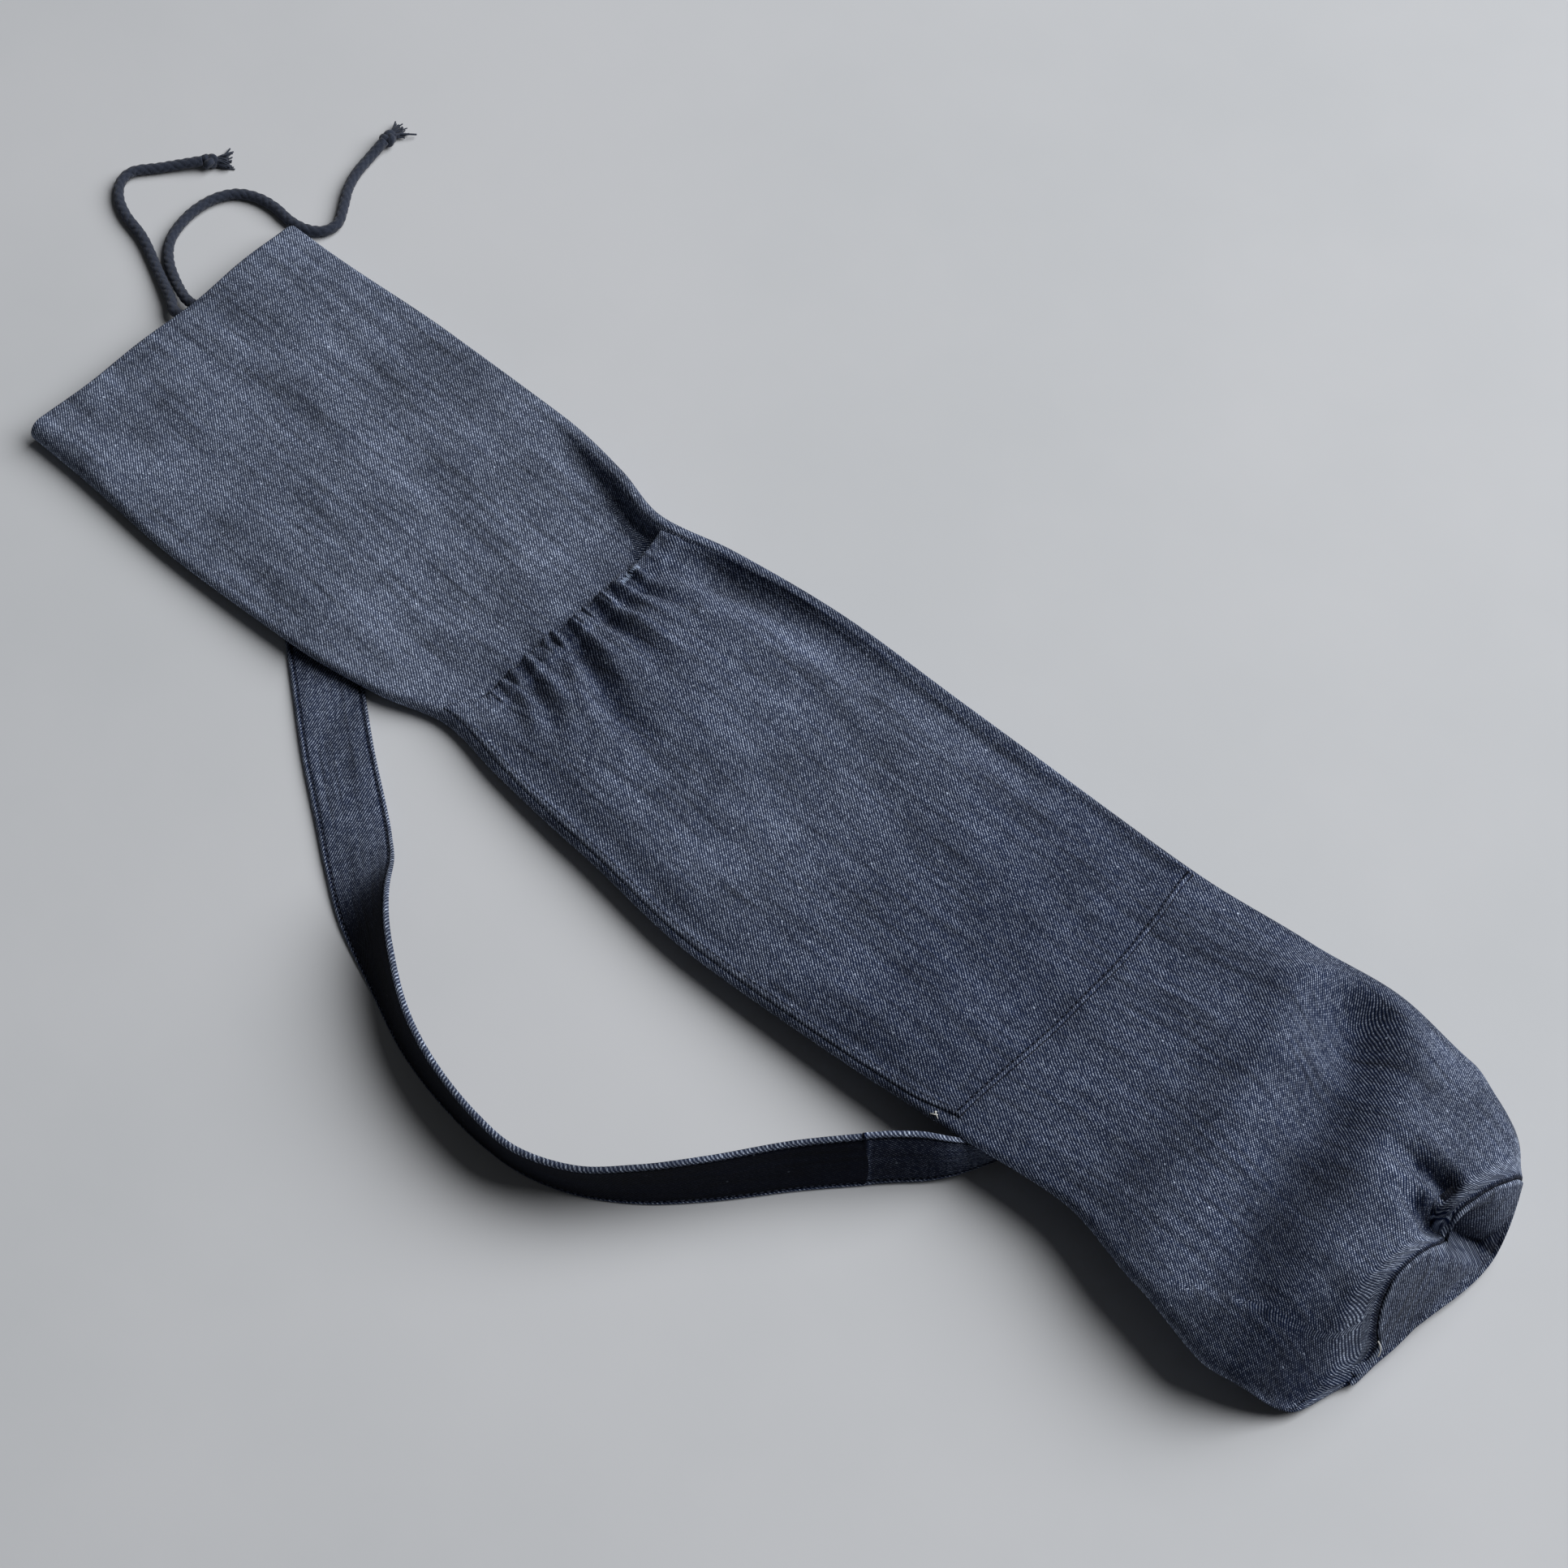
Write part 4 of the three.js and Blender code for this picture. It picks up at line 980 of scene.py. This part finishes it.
# Gaps between the puckers across the pocket's top, as y, and the creases that run down from some of them:
# the line of each as x and y, its depth and its width
GAPS = [
    -52.0, -45.2, -38.4, -29.5, -21.0, -14.5, -8.5, 0.6, 7.5, 13.5, 19.9, 25.4, 31.1, 38.1, 45.0, 54.0,
]
CREASES = [
    ([[-127, -45], [-120, -46.5], [-111, -49]], 2.4, 1.9),
    ([[-126, -29.5], [-115, -32], [-104, -36.5], [-94, -41], [-78, -51]], 4.2, 2.6),
    ([[-122, -9], [-112, -12], [-100, -16.5]], 3.4, 2.4),
    ([[-125, 0.6], [-110, -3.5], [-95, -9], [-80, -15.5], [-64, -20.5], [-43, -20]], 7.0, 3.7),
    ([[-124, 19.9], [-110, 18.5], [-97, 17.4], [-84, 16.5], [-68, 14.5]], 4.8, 2.8),
    ([[-124, 31.1], [-114, 31], [-103, 30]], 3.2, 2.3),
    ([[-121, 41.5], [-110, 43], [-99, 44.8], [-82, 50]], 4.8, 2.7),
    ([[-124, 54], [-112, 52]], 2.4, 2.0),
]
CREASE_SPREAD, CREASE_RIM, CREASE_FADE = 1.1, 0.4, 0.5

# Slack of the pocket's cloth: at its top, more below the elastic, and less further down
SLACK_TOP, SLACK_MORE, SLACK_LESS = 0.8, 7.6, 4.2
PUCKER_HEIGHT, PUCKER_REACH, PUCKER_POWER = 3.0, 1.3, 0.45
POCKET_UNEVEN = (0.7, 80, 9)


def body_top(x, y):
    """Height of the body's upper face at a place."""
    lie = lie_at(x)
    centre, half, top, left, right, fold_round = lie
    share = np.clip((y - centre) / half, -1, 1)
    bend = edge_round(half * (1 - np.abs(share)), fold_round)
    return upper_middle(x, share, lie) + bend + upper_relief(x, y) * smooth(*RELIEF_EDGE, np.abs(share))


def pocket_top_x(across):
    left = TOP_LEFT_RISE * smooth(0.14, 0.0, across)
    return POCKET_TOP_X - left - TOP_RIGHT_RISE * smooth(0.9, 1.0, across)


def pocket_end_x(across):
    return monotone(POCKET_END[:, 0], POCKET_END[:, 1], across)


def pocket_edges(across, down):
    """Places along the pocket and where its left and right edges are there."""
    x = mix(pocket_top_x(across), pocket_end_x(across), down)
    centre, half = lie_at(x)[:2]
    left = centre - half + mix(LEFT_MARGIN, LEFT_MARGIN_TOP, smooth(-70, -128, x))
    left = left + LEFT_CORNER * smooth(165, 198, x) ** 1.5
    right = centre + half - monotone(RIGHT_MARGIN[:, 0], RIGHT_MARGIN[:, 1], x)
    return x, left, right


def pocket_base(x, y, right):
    """Height the pocket rests at; beside its top right corner it bridges the valley to the right fold."""
    z = body_top(x, y)
    t = np.clip((right - y) / BRIDGE, 0, 1)
    bridge = mix(body_top(x, right), body_top(x, right - BRIDGE), t)
    over = np.maximum(0, bridge - z) * smooth(*BRIDGE_OUT, x) * smooth(0, 0.05, 1 - t)
    return z + over


def pocket_surface(across, down):
    """Places and under-side heights of the pocket cloth; down runs from its top to its bottom edge."""
    x, left, right = pocket_edges(across, down)
    y = mix(left, right, across)
    side = (right - left) * np.minimum(across, 1 - across)
    from_top, to_end = x - pocket_top_x(across), pocket_end_x(across) - x
    loose = np.where(across > 0.5, smooth(3, 36, side), smooth(0, 22, side))
    slack = SLACK_TOP + SLACK_MORE * smooth(0, 32, from_top) - SLACK_LESS * smooth(45, 120, from_top)
    slack = slack * loose * smooth(0, 45, to_end)
    flush = smooth(0.26, 0.12, across) * bell(from_top, 40)
    rest = pocket_base(x, y, right) + POCKET_CLEARANCE
    z = rest + slack * (1 - flush)
    turn = monotone(GAPS, np.arange(len(GAPS)), np.clip(y, GAPS[0], GAPS[-1]))
    inside = smooth(0, 0.5, turn) * smooth(len(GAPS) - 1, len(GAPS) - 1.5, turn)
    pucker = np.abs(np.sin(math.pi * turn)) ** PUCKER_POWER
    size = 0.85 + 0.25 * np.sin(turn * 2.3 + 0.5)
    reach = 0.78 * (1 - smooth(7.5, 13, from_top)) + 0.22 * bell(from_top, 26)
    reach = reach * smooth(-2.5, 4.0, from_top)
    z = z + PUCKER_HEIGHT * (pucker - 0.3) * size * inside * reach
    x = x - PUCKER_REACH * (pucker - 0.5) * inside * np.exp(-from_top / 5.0)
    y = y - 0.1 * from_top * inside * np.exp(-from_top / 30.0)
    for line, depth, width in CREASES:
        z = z + valley(x, y, line, depth, width, CREASE_SPREAD, CREASE_RIM, CREASE_FADE)
    z = z + ripples(x, y, *POCKET_UNEVEN) * smooth(0, 25, side) * smooth(0, 40, pocket_end_x(across) - x)
    return x, y, np.maximum(z, rest), side, from_top


# Rows and columns of the pocket's grid as shares of its width and length, closer together at its edges
POCKET_ROWS = 300
ACROSS = np.concatenate([
    [0, 0.0012, 0.003, 0.006, 0.01], np.linspace(0.015, 0.985, POCKET_ROWS), [0.99, 0.994, 0.997, 0.9988, 1],
])
DOWN = np.concatenate([
    [0, 0.002, 0.005, 0.009], np.linspace(0.013, 0.12, 34), np.linspace(0.125, 0.35, 50),
    np.linspace(0.36, 0.985, 60), [0.989, 0.99, 0.9908, 0.9915, 0.9922, 0.993],
    [0.9945, 0.9965, 0.998, 0.999, 0.9995, 1],
])

# Thickness added by the elastic's casing, the lower hem and the folded sides, and the sewn grooves
CASING_LAYERS, HEM_LAYER, SIDE_LAYER = 1.9, 0.3, 0.5
HEM_GROOVE, CASING_GROOVE = (0.3, 3.2, 0.7), (0.3, 12.5, 1.0)
EDGE_ROLL = 1.3
POCKET_SLOPE = 0.3

# Tone of the pocket: pale worn left edge, painted shade along the right edge, the lower hem pale with painted
# shade in its stitch line and painted shadow at its edge, painted shade in the creases, and a tone a little
# paler all over that falls towards the lower end as painted shade
LEFT_PALE, RIGHT_PAINTED_SHADE = (0.45, 0, 1.6), (-0.5, 0, 1.6)
HEM_PALE, STITCH_PAINTED_SHADE, HEM_PAINTED_SHADOW = 0.12, (0.8, POCKET_STITCH_INSET, 0.5), (0.6, 0, 0.35)
CREASE_PAINTED_SHADE = 0.07
POCKET_PALER, POCKET_PAINTED_SHADE_FALL, POCKET_PAINTED_SHADE_FALL_X = 0.06, 0.24, (40, 150)


def pocket_wear_and_shade(x, y, across, side, from_top, to_end, edge):
    left = band(edge, *LEFT_PALE) * smooth(1.0, 3.0, to_end) * smooth(0, 20, from_top)
    # painted shade along the pocket's right edge, under the raised fold
    right = band(side, *RIGHT_PAINTED_SHADE) * smooth(5, 25, from_top)
    wear_and_shade = np.where(across > 0.5, right, left)
    # paler hem, painted shade in its stitch line and painted shadow at its edge
    wear_and_shade += HEM_PALE * smooth(2.4, 1.8, to_end) - band(to_end, *STITCH_PAINTED_SHADE) - band(to_end, *HEM_PAINTED_SHADOW)
    # painted shade in the creases
    for line, depth, width in CREASES:
        over, at = crease(x, y, line, width * 0.8, CREASE_SPREAD)
        wear_and_shade = wear_and_shade - CREASE_PAINTED_SHADE * depth * (1 - at) ** 0.5 * np.exp(-over ** 2)
    # a little paler all over, with painted shade deepening towards the pocket's lower end
    return wear_and_shade + POCKET_PALER - POCKET_PAINTED_SHADE_FALL * smooth(*POCKET_PAINTED_SHADE_FALL_X, x)


def pocket_object():
    across, down = np.meshgrid(ACROSS, DOWN, indexing="ij")
    x, y, z, side, from_top = pocket_surface(across, down)
    to_end = pocket_end_x(across) - x
    gathered = smooth(0.1, 0.24, across)
    layers = DENIM + CASING_LAYERS * gathered * (1 - smooth(9, 15, from_top))
    layers = layers + HEM_LAYER * (1 - smooth(6, 9, to_end)) + SIDE_LAYER * (1 - smooth(3, 5, side))
    groove = band(to_end, *HEM_GROOVE) + band(from_top, *CASING_GROOVE)
    edge = np.minimum(np.minimum(side, to_end), from_top * mix(0.1, 1.2, gathered))
    thick = (layers - groove) * np.sqrt(np.maximum(0, 1 - (1 - np.minimum(edge / EDGE_ROLL, 1)) ** 2))
    outer = np.stack([x, y, z + thick], -1)
    under = np.stack([x, y, z], -1)
    grid = np.concatenate([outer, under[:, ::-1][:, 1:-1]], 1)
    stretch = np.cumsum(np.hypot(np.diff(y, axis=0), POCKET_SLOPE * np.diff(z, axis=0)), 0)
    stretch = np.concatenate([np.zeros((1, len(DOWN))), stretch])
    flat = np.stack([stretch - stretch[len(ACROSS) // 2], x], -1)
    uv = np.concatenate([flat, flat[:, ::-1][:, 1:-1], flat[:, :1]], 1)
    wear_and_shade = pocket_wear_and_shade(x, y, across, side, from_top, to_end, edge)
    wear_and_shade = np.concatenate([wear_and_shade, np.zeros_like(wear_and_shade)[:, 1:-1]], 1)
    return grid_object("bag_pocket", grid, uv, wrap_cols=True, weld=True, wear_and_shade=wear_and_shade)


pocket = settle(pocket_object(), denim, "denim", "pocket_panel")


# Strap: its outer edge on the floor, and how far it is turned up on that edge, in degrees
STRAP_WIDTH = 34.0
STRAP_ROUTE = [
    [-243, -74, 0], [-226, -87, 0], [-205, -103, 0], [-170, -130, 0], [-140, -151, 2], [-117, -167, 15],
    [-91, -183, 42], [-57, -197, 70], [-22, -211, 84], [8, -218, 92], [40, -221, 98], [64, -219, 102],
    [87, -211, 100], [110, -196, 92], [132, -174.5, 86], [158, -143.5, 81], [172, -128, 80], [187, -112, 79],
]
STRAP_STEPS, TAB_STEPS = 330, 90

# Tab: its lower and its upper edge, from the cross seam to under the bag, where it is pressed narrower
TAB_LOWER = [
    [177, -122.5, 1.0], [187, -112, 1.0], [197, -102.2, 1.5], [204.5, -93.5, 3.5], [211, -85, 7],
    [217, -76, 10], [222, -66, 12],
]
TAB_UPPER = [
    [172.9, -118.3, 34.4], [182.8, -107.9, 34.3], [192.3, -98.6, 32.6], [199.5, -91, 27.5],
    [206, -82.5, 22], [212, -73, 18], [217, -63, 15],
]

# Section of the strap: half thickness, rolled edges, and a sewn groove beside each
STRAP_HALF, STRAP_ROLL, STRAP_ROLL_WIDTH = 1.25, 0.4, 1.5
STRAP_STITCH_INSET = 2.5
STRAP_GROOVE = (0.45, STRAP_STITCH_INSET, 0.55)
STRAP_BOW, BOW_LENGTH = 0.5, 37.0
STRAP_LIFT = 0.1

# Tone of the strap: pale edges, painted shade in the sewn grooves, painted shade on the face where it stands,
# and at the tab's cross seam painted shade with a paler strip beside it
STRAP_PALE, STRAP_PAINTED_GROOVE_SHADE = (0.3, 0, 1.3), (0.9, STRAP_STITCH_INSET, 0.6)
STRAP_SHADE, TAB_SHADE = 0.95, 0.6
CROSS_PAINTED_SHADE, CROSS_PALE = (1.2, 0, 1.1), (0.35, 2.6, 0.9)

# Places across the strap, closer together at its edges
NEAR_EDGE = np.array([0, 0.2, 0.6, 1.1, 1.5, 1.9, 2.3, 2.6, 3.0, 3.6, 4.5])
STRAP_W = np.concatenate([
    NEAR_EDGE, np.linspace(5.5, STRAP_WIDTH - 5.5, 24), STRAP_WIDTH - NEAR_EDGE[::-1],
])


def strap_half_thickness(w):
    """Half thickness across the strap: rolled edges, a sewn groove beside each, a flat middle."""
    from_edge = np.minimum(w, STRAP_WIDTH - w)
    half = STRAP_HALF + STRAP_ROLL * (1 - smooth(1.0, 2.4, from_edge)) - band(from_edge, *STRAP_GROOVE)
    return half * np.sqrt(np.maximum(0, 1 - (1 - np.minimum(from_edge / STRAP_ROLL_WIDTH, 1)) ** 2))


def strap_places(route, count):
    """Outer edge, direction across, facing and distance at places along the long strap."""
    points = np.array(route, float)
    line = through(points[:, :2], count)
    chord, along = distances(points[:, :2]), distances(line)
    turn = np.radians(monotone(chord / chord[-1], points[:, 2], along / along[-1]))
    flat = unit(np.gradient(line, axis=0))
    ahead = np.concatenate([flat, np.zeros((count, 1))], 1)
    inward = np.stack([-flat[:, 1], flat[:, 0], np.zeros(count)], -1)
    across = inward * np.cos(turn)[:, None] + np.array([0, 0, 1]) * np.sin(turn)[:, None]
    start = np.concatenate([line, np.zeros((count, 1))], 1)
    return start, across, np.cross(ahead, across), along


def tab_places(lower, upper, count):
    """The same for the tab, between its lower and its upper edge."""
    low, high = through(lower, count), through(upper, count)
    across = (high - low) / STRAP_WIDTH
    return low, across, unit(np.cross(np.gradient(low, axis=0), across)), distances(low)


def sewn_end(left):
    """The strap is pressed thinner where the tab is sewn over its end."""
    return mix(0.6, 1.0, smooth(8, 14, left))


def strap_object(name, places, grounded=True):
    """A band through its places, its length, and how far each place was lifted onto the floor."""
    start, across, face, along = places
    w = np.concatenate([STRAP_W, STRAP_W[::-1][1:-1]])
    sign = np.concatenate([np.ones(len(STRAP_W)), -np.ones(len(STRAP_W) - 2)])
    press = sewn_end(along[-1] - along) if grounded else np.ones(len(along))
    half = (strap_half_thickness(w) * sign)[None, :] * press[:, None]
    bow = STRAP_BOW * np.sin(along / BOW_LENGTH)[:, None] * np.sin(math.pi * w / STRAP_WIDTH)[None, :]
    grid = start[:, None] + across[:, None] * w[None, :, None] + face[:, None] * (half + bow)[..., None]
    lift = STRAP_LIFT - grid[..., 2].min(1) if grounded else np.zeros(len(grid))
    grid[..., 2] += lift[:, None]
    grid = capped(grid, grid[0].mean(0), grid[-1].mean(0))
    along = np.concatenate([along[:1], along, along[-1:]])
    around = np.concatenate([STRAP_W, 2 * STRAP_WIDTH - STRAP_W[::-1][1:-1], [2 * STRAP_WIDTH]])
    uv = np.stack(np.broadcast_arrays(around[None, :], along[:, None]), -1)
    from_edge = np.minimum(w, STRAP_WIDTH - w)
    # pale edges and painted shade in the sewn grooves
    wear_and_shade = band(from_edge, *STRAP_PALE) - band(from_edge, *STRAP_PAINTED_GROOVE_SHADE)
    standing = smooth(0.3, 0.95, np.concatenate([across[:1], across, across[-1:]])[:, 2:])
    shade = STRAP_SHADE if grounded else TAB_SHADE
    # painted shade on the face where the strap stands on its edge
    wear_and_shade = wear_and_shade[None, :] - shade * standing * smooth(1.6, 2.6, from_edge)[None, :]
    if not grounded:
        # painted shade in the tab's cross seam, with a paler strip beside it
        wear_and_shade = wear_and_shade - band(along, *CROSS_PAINTED_SHADE)[:, None] + band(along, *CROSS_PALE)[:, None]
    return grid_object(name, grid, uv, wrap_cols=True, weld=True, wear_and_shade=wear_and_shade), float(along[-1]), lift


long_places = strap_places(STRAP_ROUTE, STRAP_STEPS)
short_places = tab_places(TAB_LOWER, TAB_UPPER, TAB_STEPS)
strap, strap_length, strap_lift = strap_object("strap_long_band", long_places)
settle(strap, denim, "denim", "strap_long")
tab, tab_length, tab_lift = strap_object("strap_tab_band", short_places, grounded=False)
settle(tab, denim, "denim", "strap_tab")


# Cord inside the hem: its place, its radius, and the points of the hem left out on each side of the exits
HEM_CORD_X, HEM_CORD_RADIUS, EXIT_GAP = -389.0, 1.35, 8

# Elastic: the shares of the pocket's width where it starts and stops, its length, and the corners of its
# section, as the distance from the pocket's top and the height in its fold
ELASTIC_START, ELASTIC_STOP, ELASTIC_LENGTH = 0.19, 0.93, 130
ELASTIC_CORNERS = [(3.6, 0.5), (8.6, 0.5), (8.6, 1.0), (3.6, 1.0)]


def hem_cord_object():
    """The drawstring's run round the inside of the hem, pressed flatter there, out to both exits."""
    inside = body_rings([HEM_CORD_X], HEM_THICKNESS / 2)[0]
    upper = inside[:ANGLES // 2 + 1]
    upper = upper[np.argsort(upper[:, 1])]
    exit_y = (EXIT_SHORT_Y + EXIT_LONG_Y) / 2
    exit_z = np.interp(exit_y, upper[:, 1], upper[:, 2])
    nearest = np.argmin(np.hypot(inside[:, 1] - exit_y, inside[:, 2] - exit_z))
    loop = np.roll(inside, -nearest, axis=0)[EXIT_GAP:-EXIT_GAP]
    leave = [[CORD_START_X + 0.3, y, CORD_LIFT + EXIT_RISE] for y in (EXIT_SHORT_Y, EXIT_LONG_Y)]
    ends = sorted(leave, key=lambda p: abs(p[1] - loop[0, 1]))
    path = np.vstack([ends[0], loop, ends[1]])
    return tube_object("cord_in_hem", spaced(path, 500), HEM_CORD_RADIUS, HEM_CORD_SIDES, braid)


settle(hem_cord_object(), cord_cotton, "cord", "drawstring_in_hem")


def elastic_object():
    """Flat band in the fold along the pocket's top, between the ends of its gathers."""
    across = np.linspace(0.015, 0.985, POCKET_ROWS)
    across = across[(across > ELASTIC_START) & (across < ELASTIC_STOP)]
    rings = []
    for from_top, rise in ELASTIC_CORNERS:
        down = from_top / (pocket_end_x(across) - pocket_top_x(across))
        x, y, z = pocket_surface(across, down)[:3]
        rings.append(np.stack([x, y, z + rise], -1))
    grid = np.stack(rings, 1)
    grid = capped(grid, grid[0].mean(0), grid[-1].mean(0))
    around = np.array([0, 7.0, 7.8, 14.8, 15.6])
    along = np.linspace(0, ELASTIC_LENGTH, len(grid))
    uv = np.stack(np.broadcast_arrays(around[None, :], along[:, None]), -1)
    return grid_object("pocket_elastic_band", grid, uv, wrap_cols=True, weld=True)


settle(elastic_object(), elastic_band, "elastic", "pocket_elastic")


# Threads: stitches along the seams, the bar tack at the pocket's corner, and loose ends
STITCH_PITCH, STITCH_LENGTH, STITCH_RADIUS = 3.2, 2.5, 0.3
STITCH_POINTS, STITCH_SIDES = 8, 6
STITCH_OUT, STITCH_SUNK = 1.1, 0.8
RAY_HEIGHT = 200.0


def stitches_object(name, starts, ends, normals, radius):
    """Short threads that stand off the cloth along their normals and sink into it at both ends."""
    t = np.linspace(0, 1, STITCH_POINTS)
    round_off = np.sin(math.pi * t) ** 0.5
    ahead = unit(ends - starts)
    aside = unit(np.cross(normals, ahead))
    up = np.cross(ahead, aside)
    middle = starts[:, None] + (ends - starts)[:, None] * t[None, :, None]
    middle = middle + up[:, None] * (radius * (STITCH_OUT * round_off - STITCH_SUNK))[None, :, None]
    turn = np.linspace(0, 2 * math.pi, STITCH_SIDES, endpoint=False)
    out = np.cos(turn)[None, :, None] * aside[:, None] + np.sin(turn)[None, :, None] * up[:, None]
    grid = middle[:, :, None] + radius * round_off[None, :, None, None] * out[:, None]
    index = np.arange(grid[..., 0].size).reshape(grid.shape[:3])
    near, far = index[:, :-1], index[:, 1:]
    quads = np.stack([near, np.roll(near, -1, 2), np.roll(far, -1, 2), far], -1).reshape(-1, 4)
    around, along = turn[None, None, :] * radius, t[None, :, None] * STITCH_LENGTH + index[:, :1, :1]
    corners = np.stack(np.broadcast_arrays(around, along), -1).reshape(-1, 2)[quads]
    return mesh_object(name, grid.reshape(-1, 3), quads, corners, weld=True)


def on_cloth(piece, places):
    """Points and normals on the upper face of a piece above some x and y."""
    mesh = piece.data
    tree = BVHTree.FromPolygons([v.co for v in mesh.vertices], [p.vertices[:] for p in mesh.polygons])
    points, normals = [], []
    for x, y in places:
        hit, normal = tree.ray_cast(Vector((x * MM, y * MM, RAY_HEIGHT * MM)), Vector((0, 0, -1)))[:2]
        points.append(np.array(hit) / MM)
        normals.append(np.array(normal if normal.z > 0 else -normal))
    return np.array(points), np.array(normals)


def stitch_ends(line):
    """Starts and ends of stitches of even pitch along a line."""
    reach = distances(line)
    begin = np.arange(0.5, reach[-1] - STITCH_LENGTH, STITCH_PITCH)
    return at_distance(line, reach, begin), at_distance(line, reach, begin + STITCH_LENGTH)


def pocket_stitches():
    """Stitches along the pocket's lower hem and both its sides."""
    across = np.linspace(0.025, 0.975, 200)
    full = pocket_end_x(across) - pocket_top_x(across)
    x, y = pocket_surface(across, 1 - POCKET_STITCH_INSET / full)[:2]
    seams = [stitch_ends(np.stack([x, y], -1))]
    down = np.linspace(0.06, 0.985, 300)
    for side in (0.0, 1.0):
        x, left, right = pocket_edges(np.full(down.shape, side), down)
        y = left + POCKET_STITCH_INSET if side == 0 else right - POCKET_STITCH_INSET
        seams.append(stitch_ends(np.stack([x, y], -1)))
    starts, normals = on_cloth(pocket, np.concatenate([one for one, _ in seams]))
    ends = on_cloth(pocket, np.concatenate([two for _, two in seams]))[0]
    return stitches_object("thread_pocket_seam", starts, ends, normals, STITCH_RADIUS)


def strap_stitches(name, places, lift):
    """Stitches along both edges of a band, on both its faces."""
    start, across, face, _ = places
    starts, ends, normals = [], [], []
    for inset in (STRAP_STITCH_INSET, STRAP_WIDTH - STRAP_STITCH_INSET):
        for side in (1, -1):
            rise = strap_half_thickness(np.array([inset]))[0] * side
            line = start + across * inset + face * rise + np.array([0, 0, 1]) * lift[:, None]
            one, two = stitch_ends(np.concatenate([line, face * side], 1))
            starts.append(one[:, :3])
            ends.append(two[:, :3])
            normals.append(unit(one[:, 3:]))
    starts, ends, normals = (np.concatenate(part) for part in (starts, ends, normals))
    return stitches_object(name, starts, ends, normals, STITCH_RADIUS)


settle(pocket_stitches(), navy_thread, "denim")
settle(strap_stitches("thread_strap", long_places, strap_lift), navy_thread, "denim")
settle(strap_stitches("thread_tab", short_places, tab_lift), navy_thread, "denim")

# Bar tack: its place along the bag, its two ends across it, half its width, slant, unevenness and thread
TACK_X, TACK_LEFT, TACK_RIGHT = -122.6, 38.8, 50.2
TACK_HALF, TACK_SLANT, TACK_UNEVEN = 1.5, 0.5, 0.35
TACK_STITCHES, TACK_RADIUS = 15, 0.42
tack_y = np.linspace(TACK_LEFT, TACK_RIGHT, TACK_STITCHES)
tack_x = TACK_X + TACK_UNEVEN * np.sin(np.arange(TACK_STITCHES) * 2.1)
tack_from, tack_up = on_cloth(pocket, np.stack([tack_x - TACK_HALF, tack_y], -1))
tack_to = on_cloth(pocket, np.stack([tack_x + TACK_HALF, tack_y + TACK_SLANT], -1))[0]
settle(stitches_object("thread_bar_tack", tack_from, tack_to, tack_up, TACK_RADIUS), pale_thread, "denim")

# Loose ends of white thread, with the radius of each
LOOSE_AT_POCKET = [
    [184.5, -86.6, 25.2], [186.2, -86.4, 26.4], [187.6, -85.2, 26.0], [187.2, -84.2, 25.2],
    [186.0, -85.0, 26.8], [188.8, -86.4, 25.4],
]
LOOSE_AT_BASE = [[399.2, -38.9, 19.5], [400.2, -38.2, 15.8], [401.0, -38.6, 12.2], [401.2, -40.0, 9.6]]
LOOSE_ENDS = [("loose_at_pocket", LOOSE_AT_POCKET, 0.3), ("loose_at_base", LOOSE_AT_BASE, 0.36)]
loose = [tube_object(name, through(points, 40), radius, THREAD_SIDES) for name, points, radius in LOOSE_ENDS]
settle(joined("thread_loose", loose), white_thread, "denim")


# Floor and light
corner = np.array([-FLOOR_REACH, FLOOR_REACH])
floor_x, floor_y = np.meshgrid(corner, corner, indexing="ij")
floor = grid_object("floor", np.stack([floor_x, floor_y, 0 * floor_x], -1), np.zeros((2, 2, 2)))
floor.data.materials.append(floor_material("floor_pale", linear(196, 199, 203), linear(203, 205, 209)))

lamp = bpy.data.lights.new("key", "AREA")
lamp.shape = "DISK"
lamp.size = LAMP_SIZE
lamp.energy = LAMP_POWER
key = bpy.data.objects.new("key", lamp)
bpy.context.scene.collection.objects.link(key)
key.location = LAMP_PLACE
key.rotation_euler = (Vector(LAMP_TARGET) - Vector(LAMP_PLACE)).to_track_quat("-Z", "Y").to_euler()
world = bpy.data.worlds.new("studio")
world.use_nodes = True
sky = world.node_tree.nodes["Background"]
sky.inputs["Color"].default_value = SKY_COLOUR
sky.inputs["Strength"].default_value = SKY_STRENGTH
bpy.context.scene.world = world
bpy.context.scene.view_settings.view_transform = "Standard"
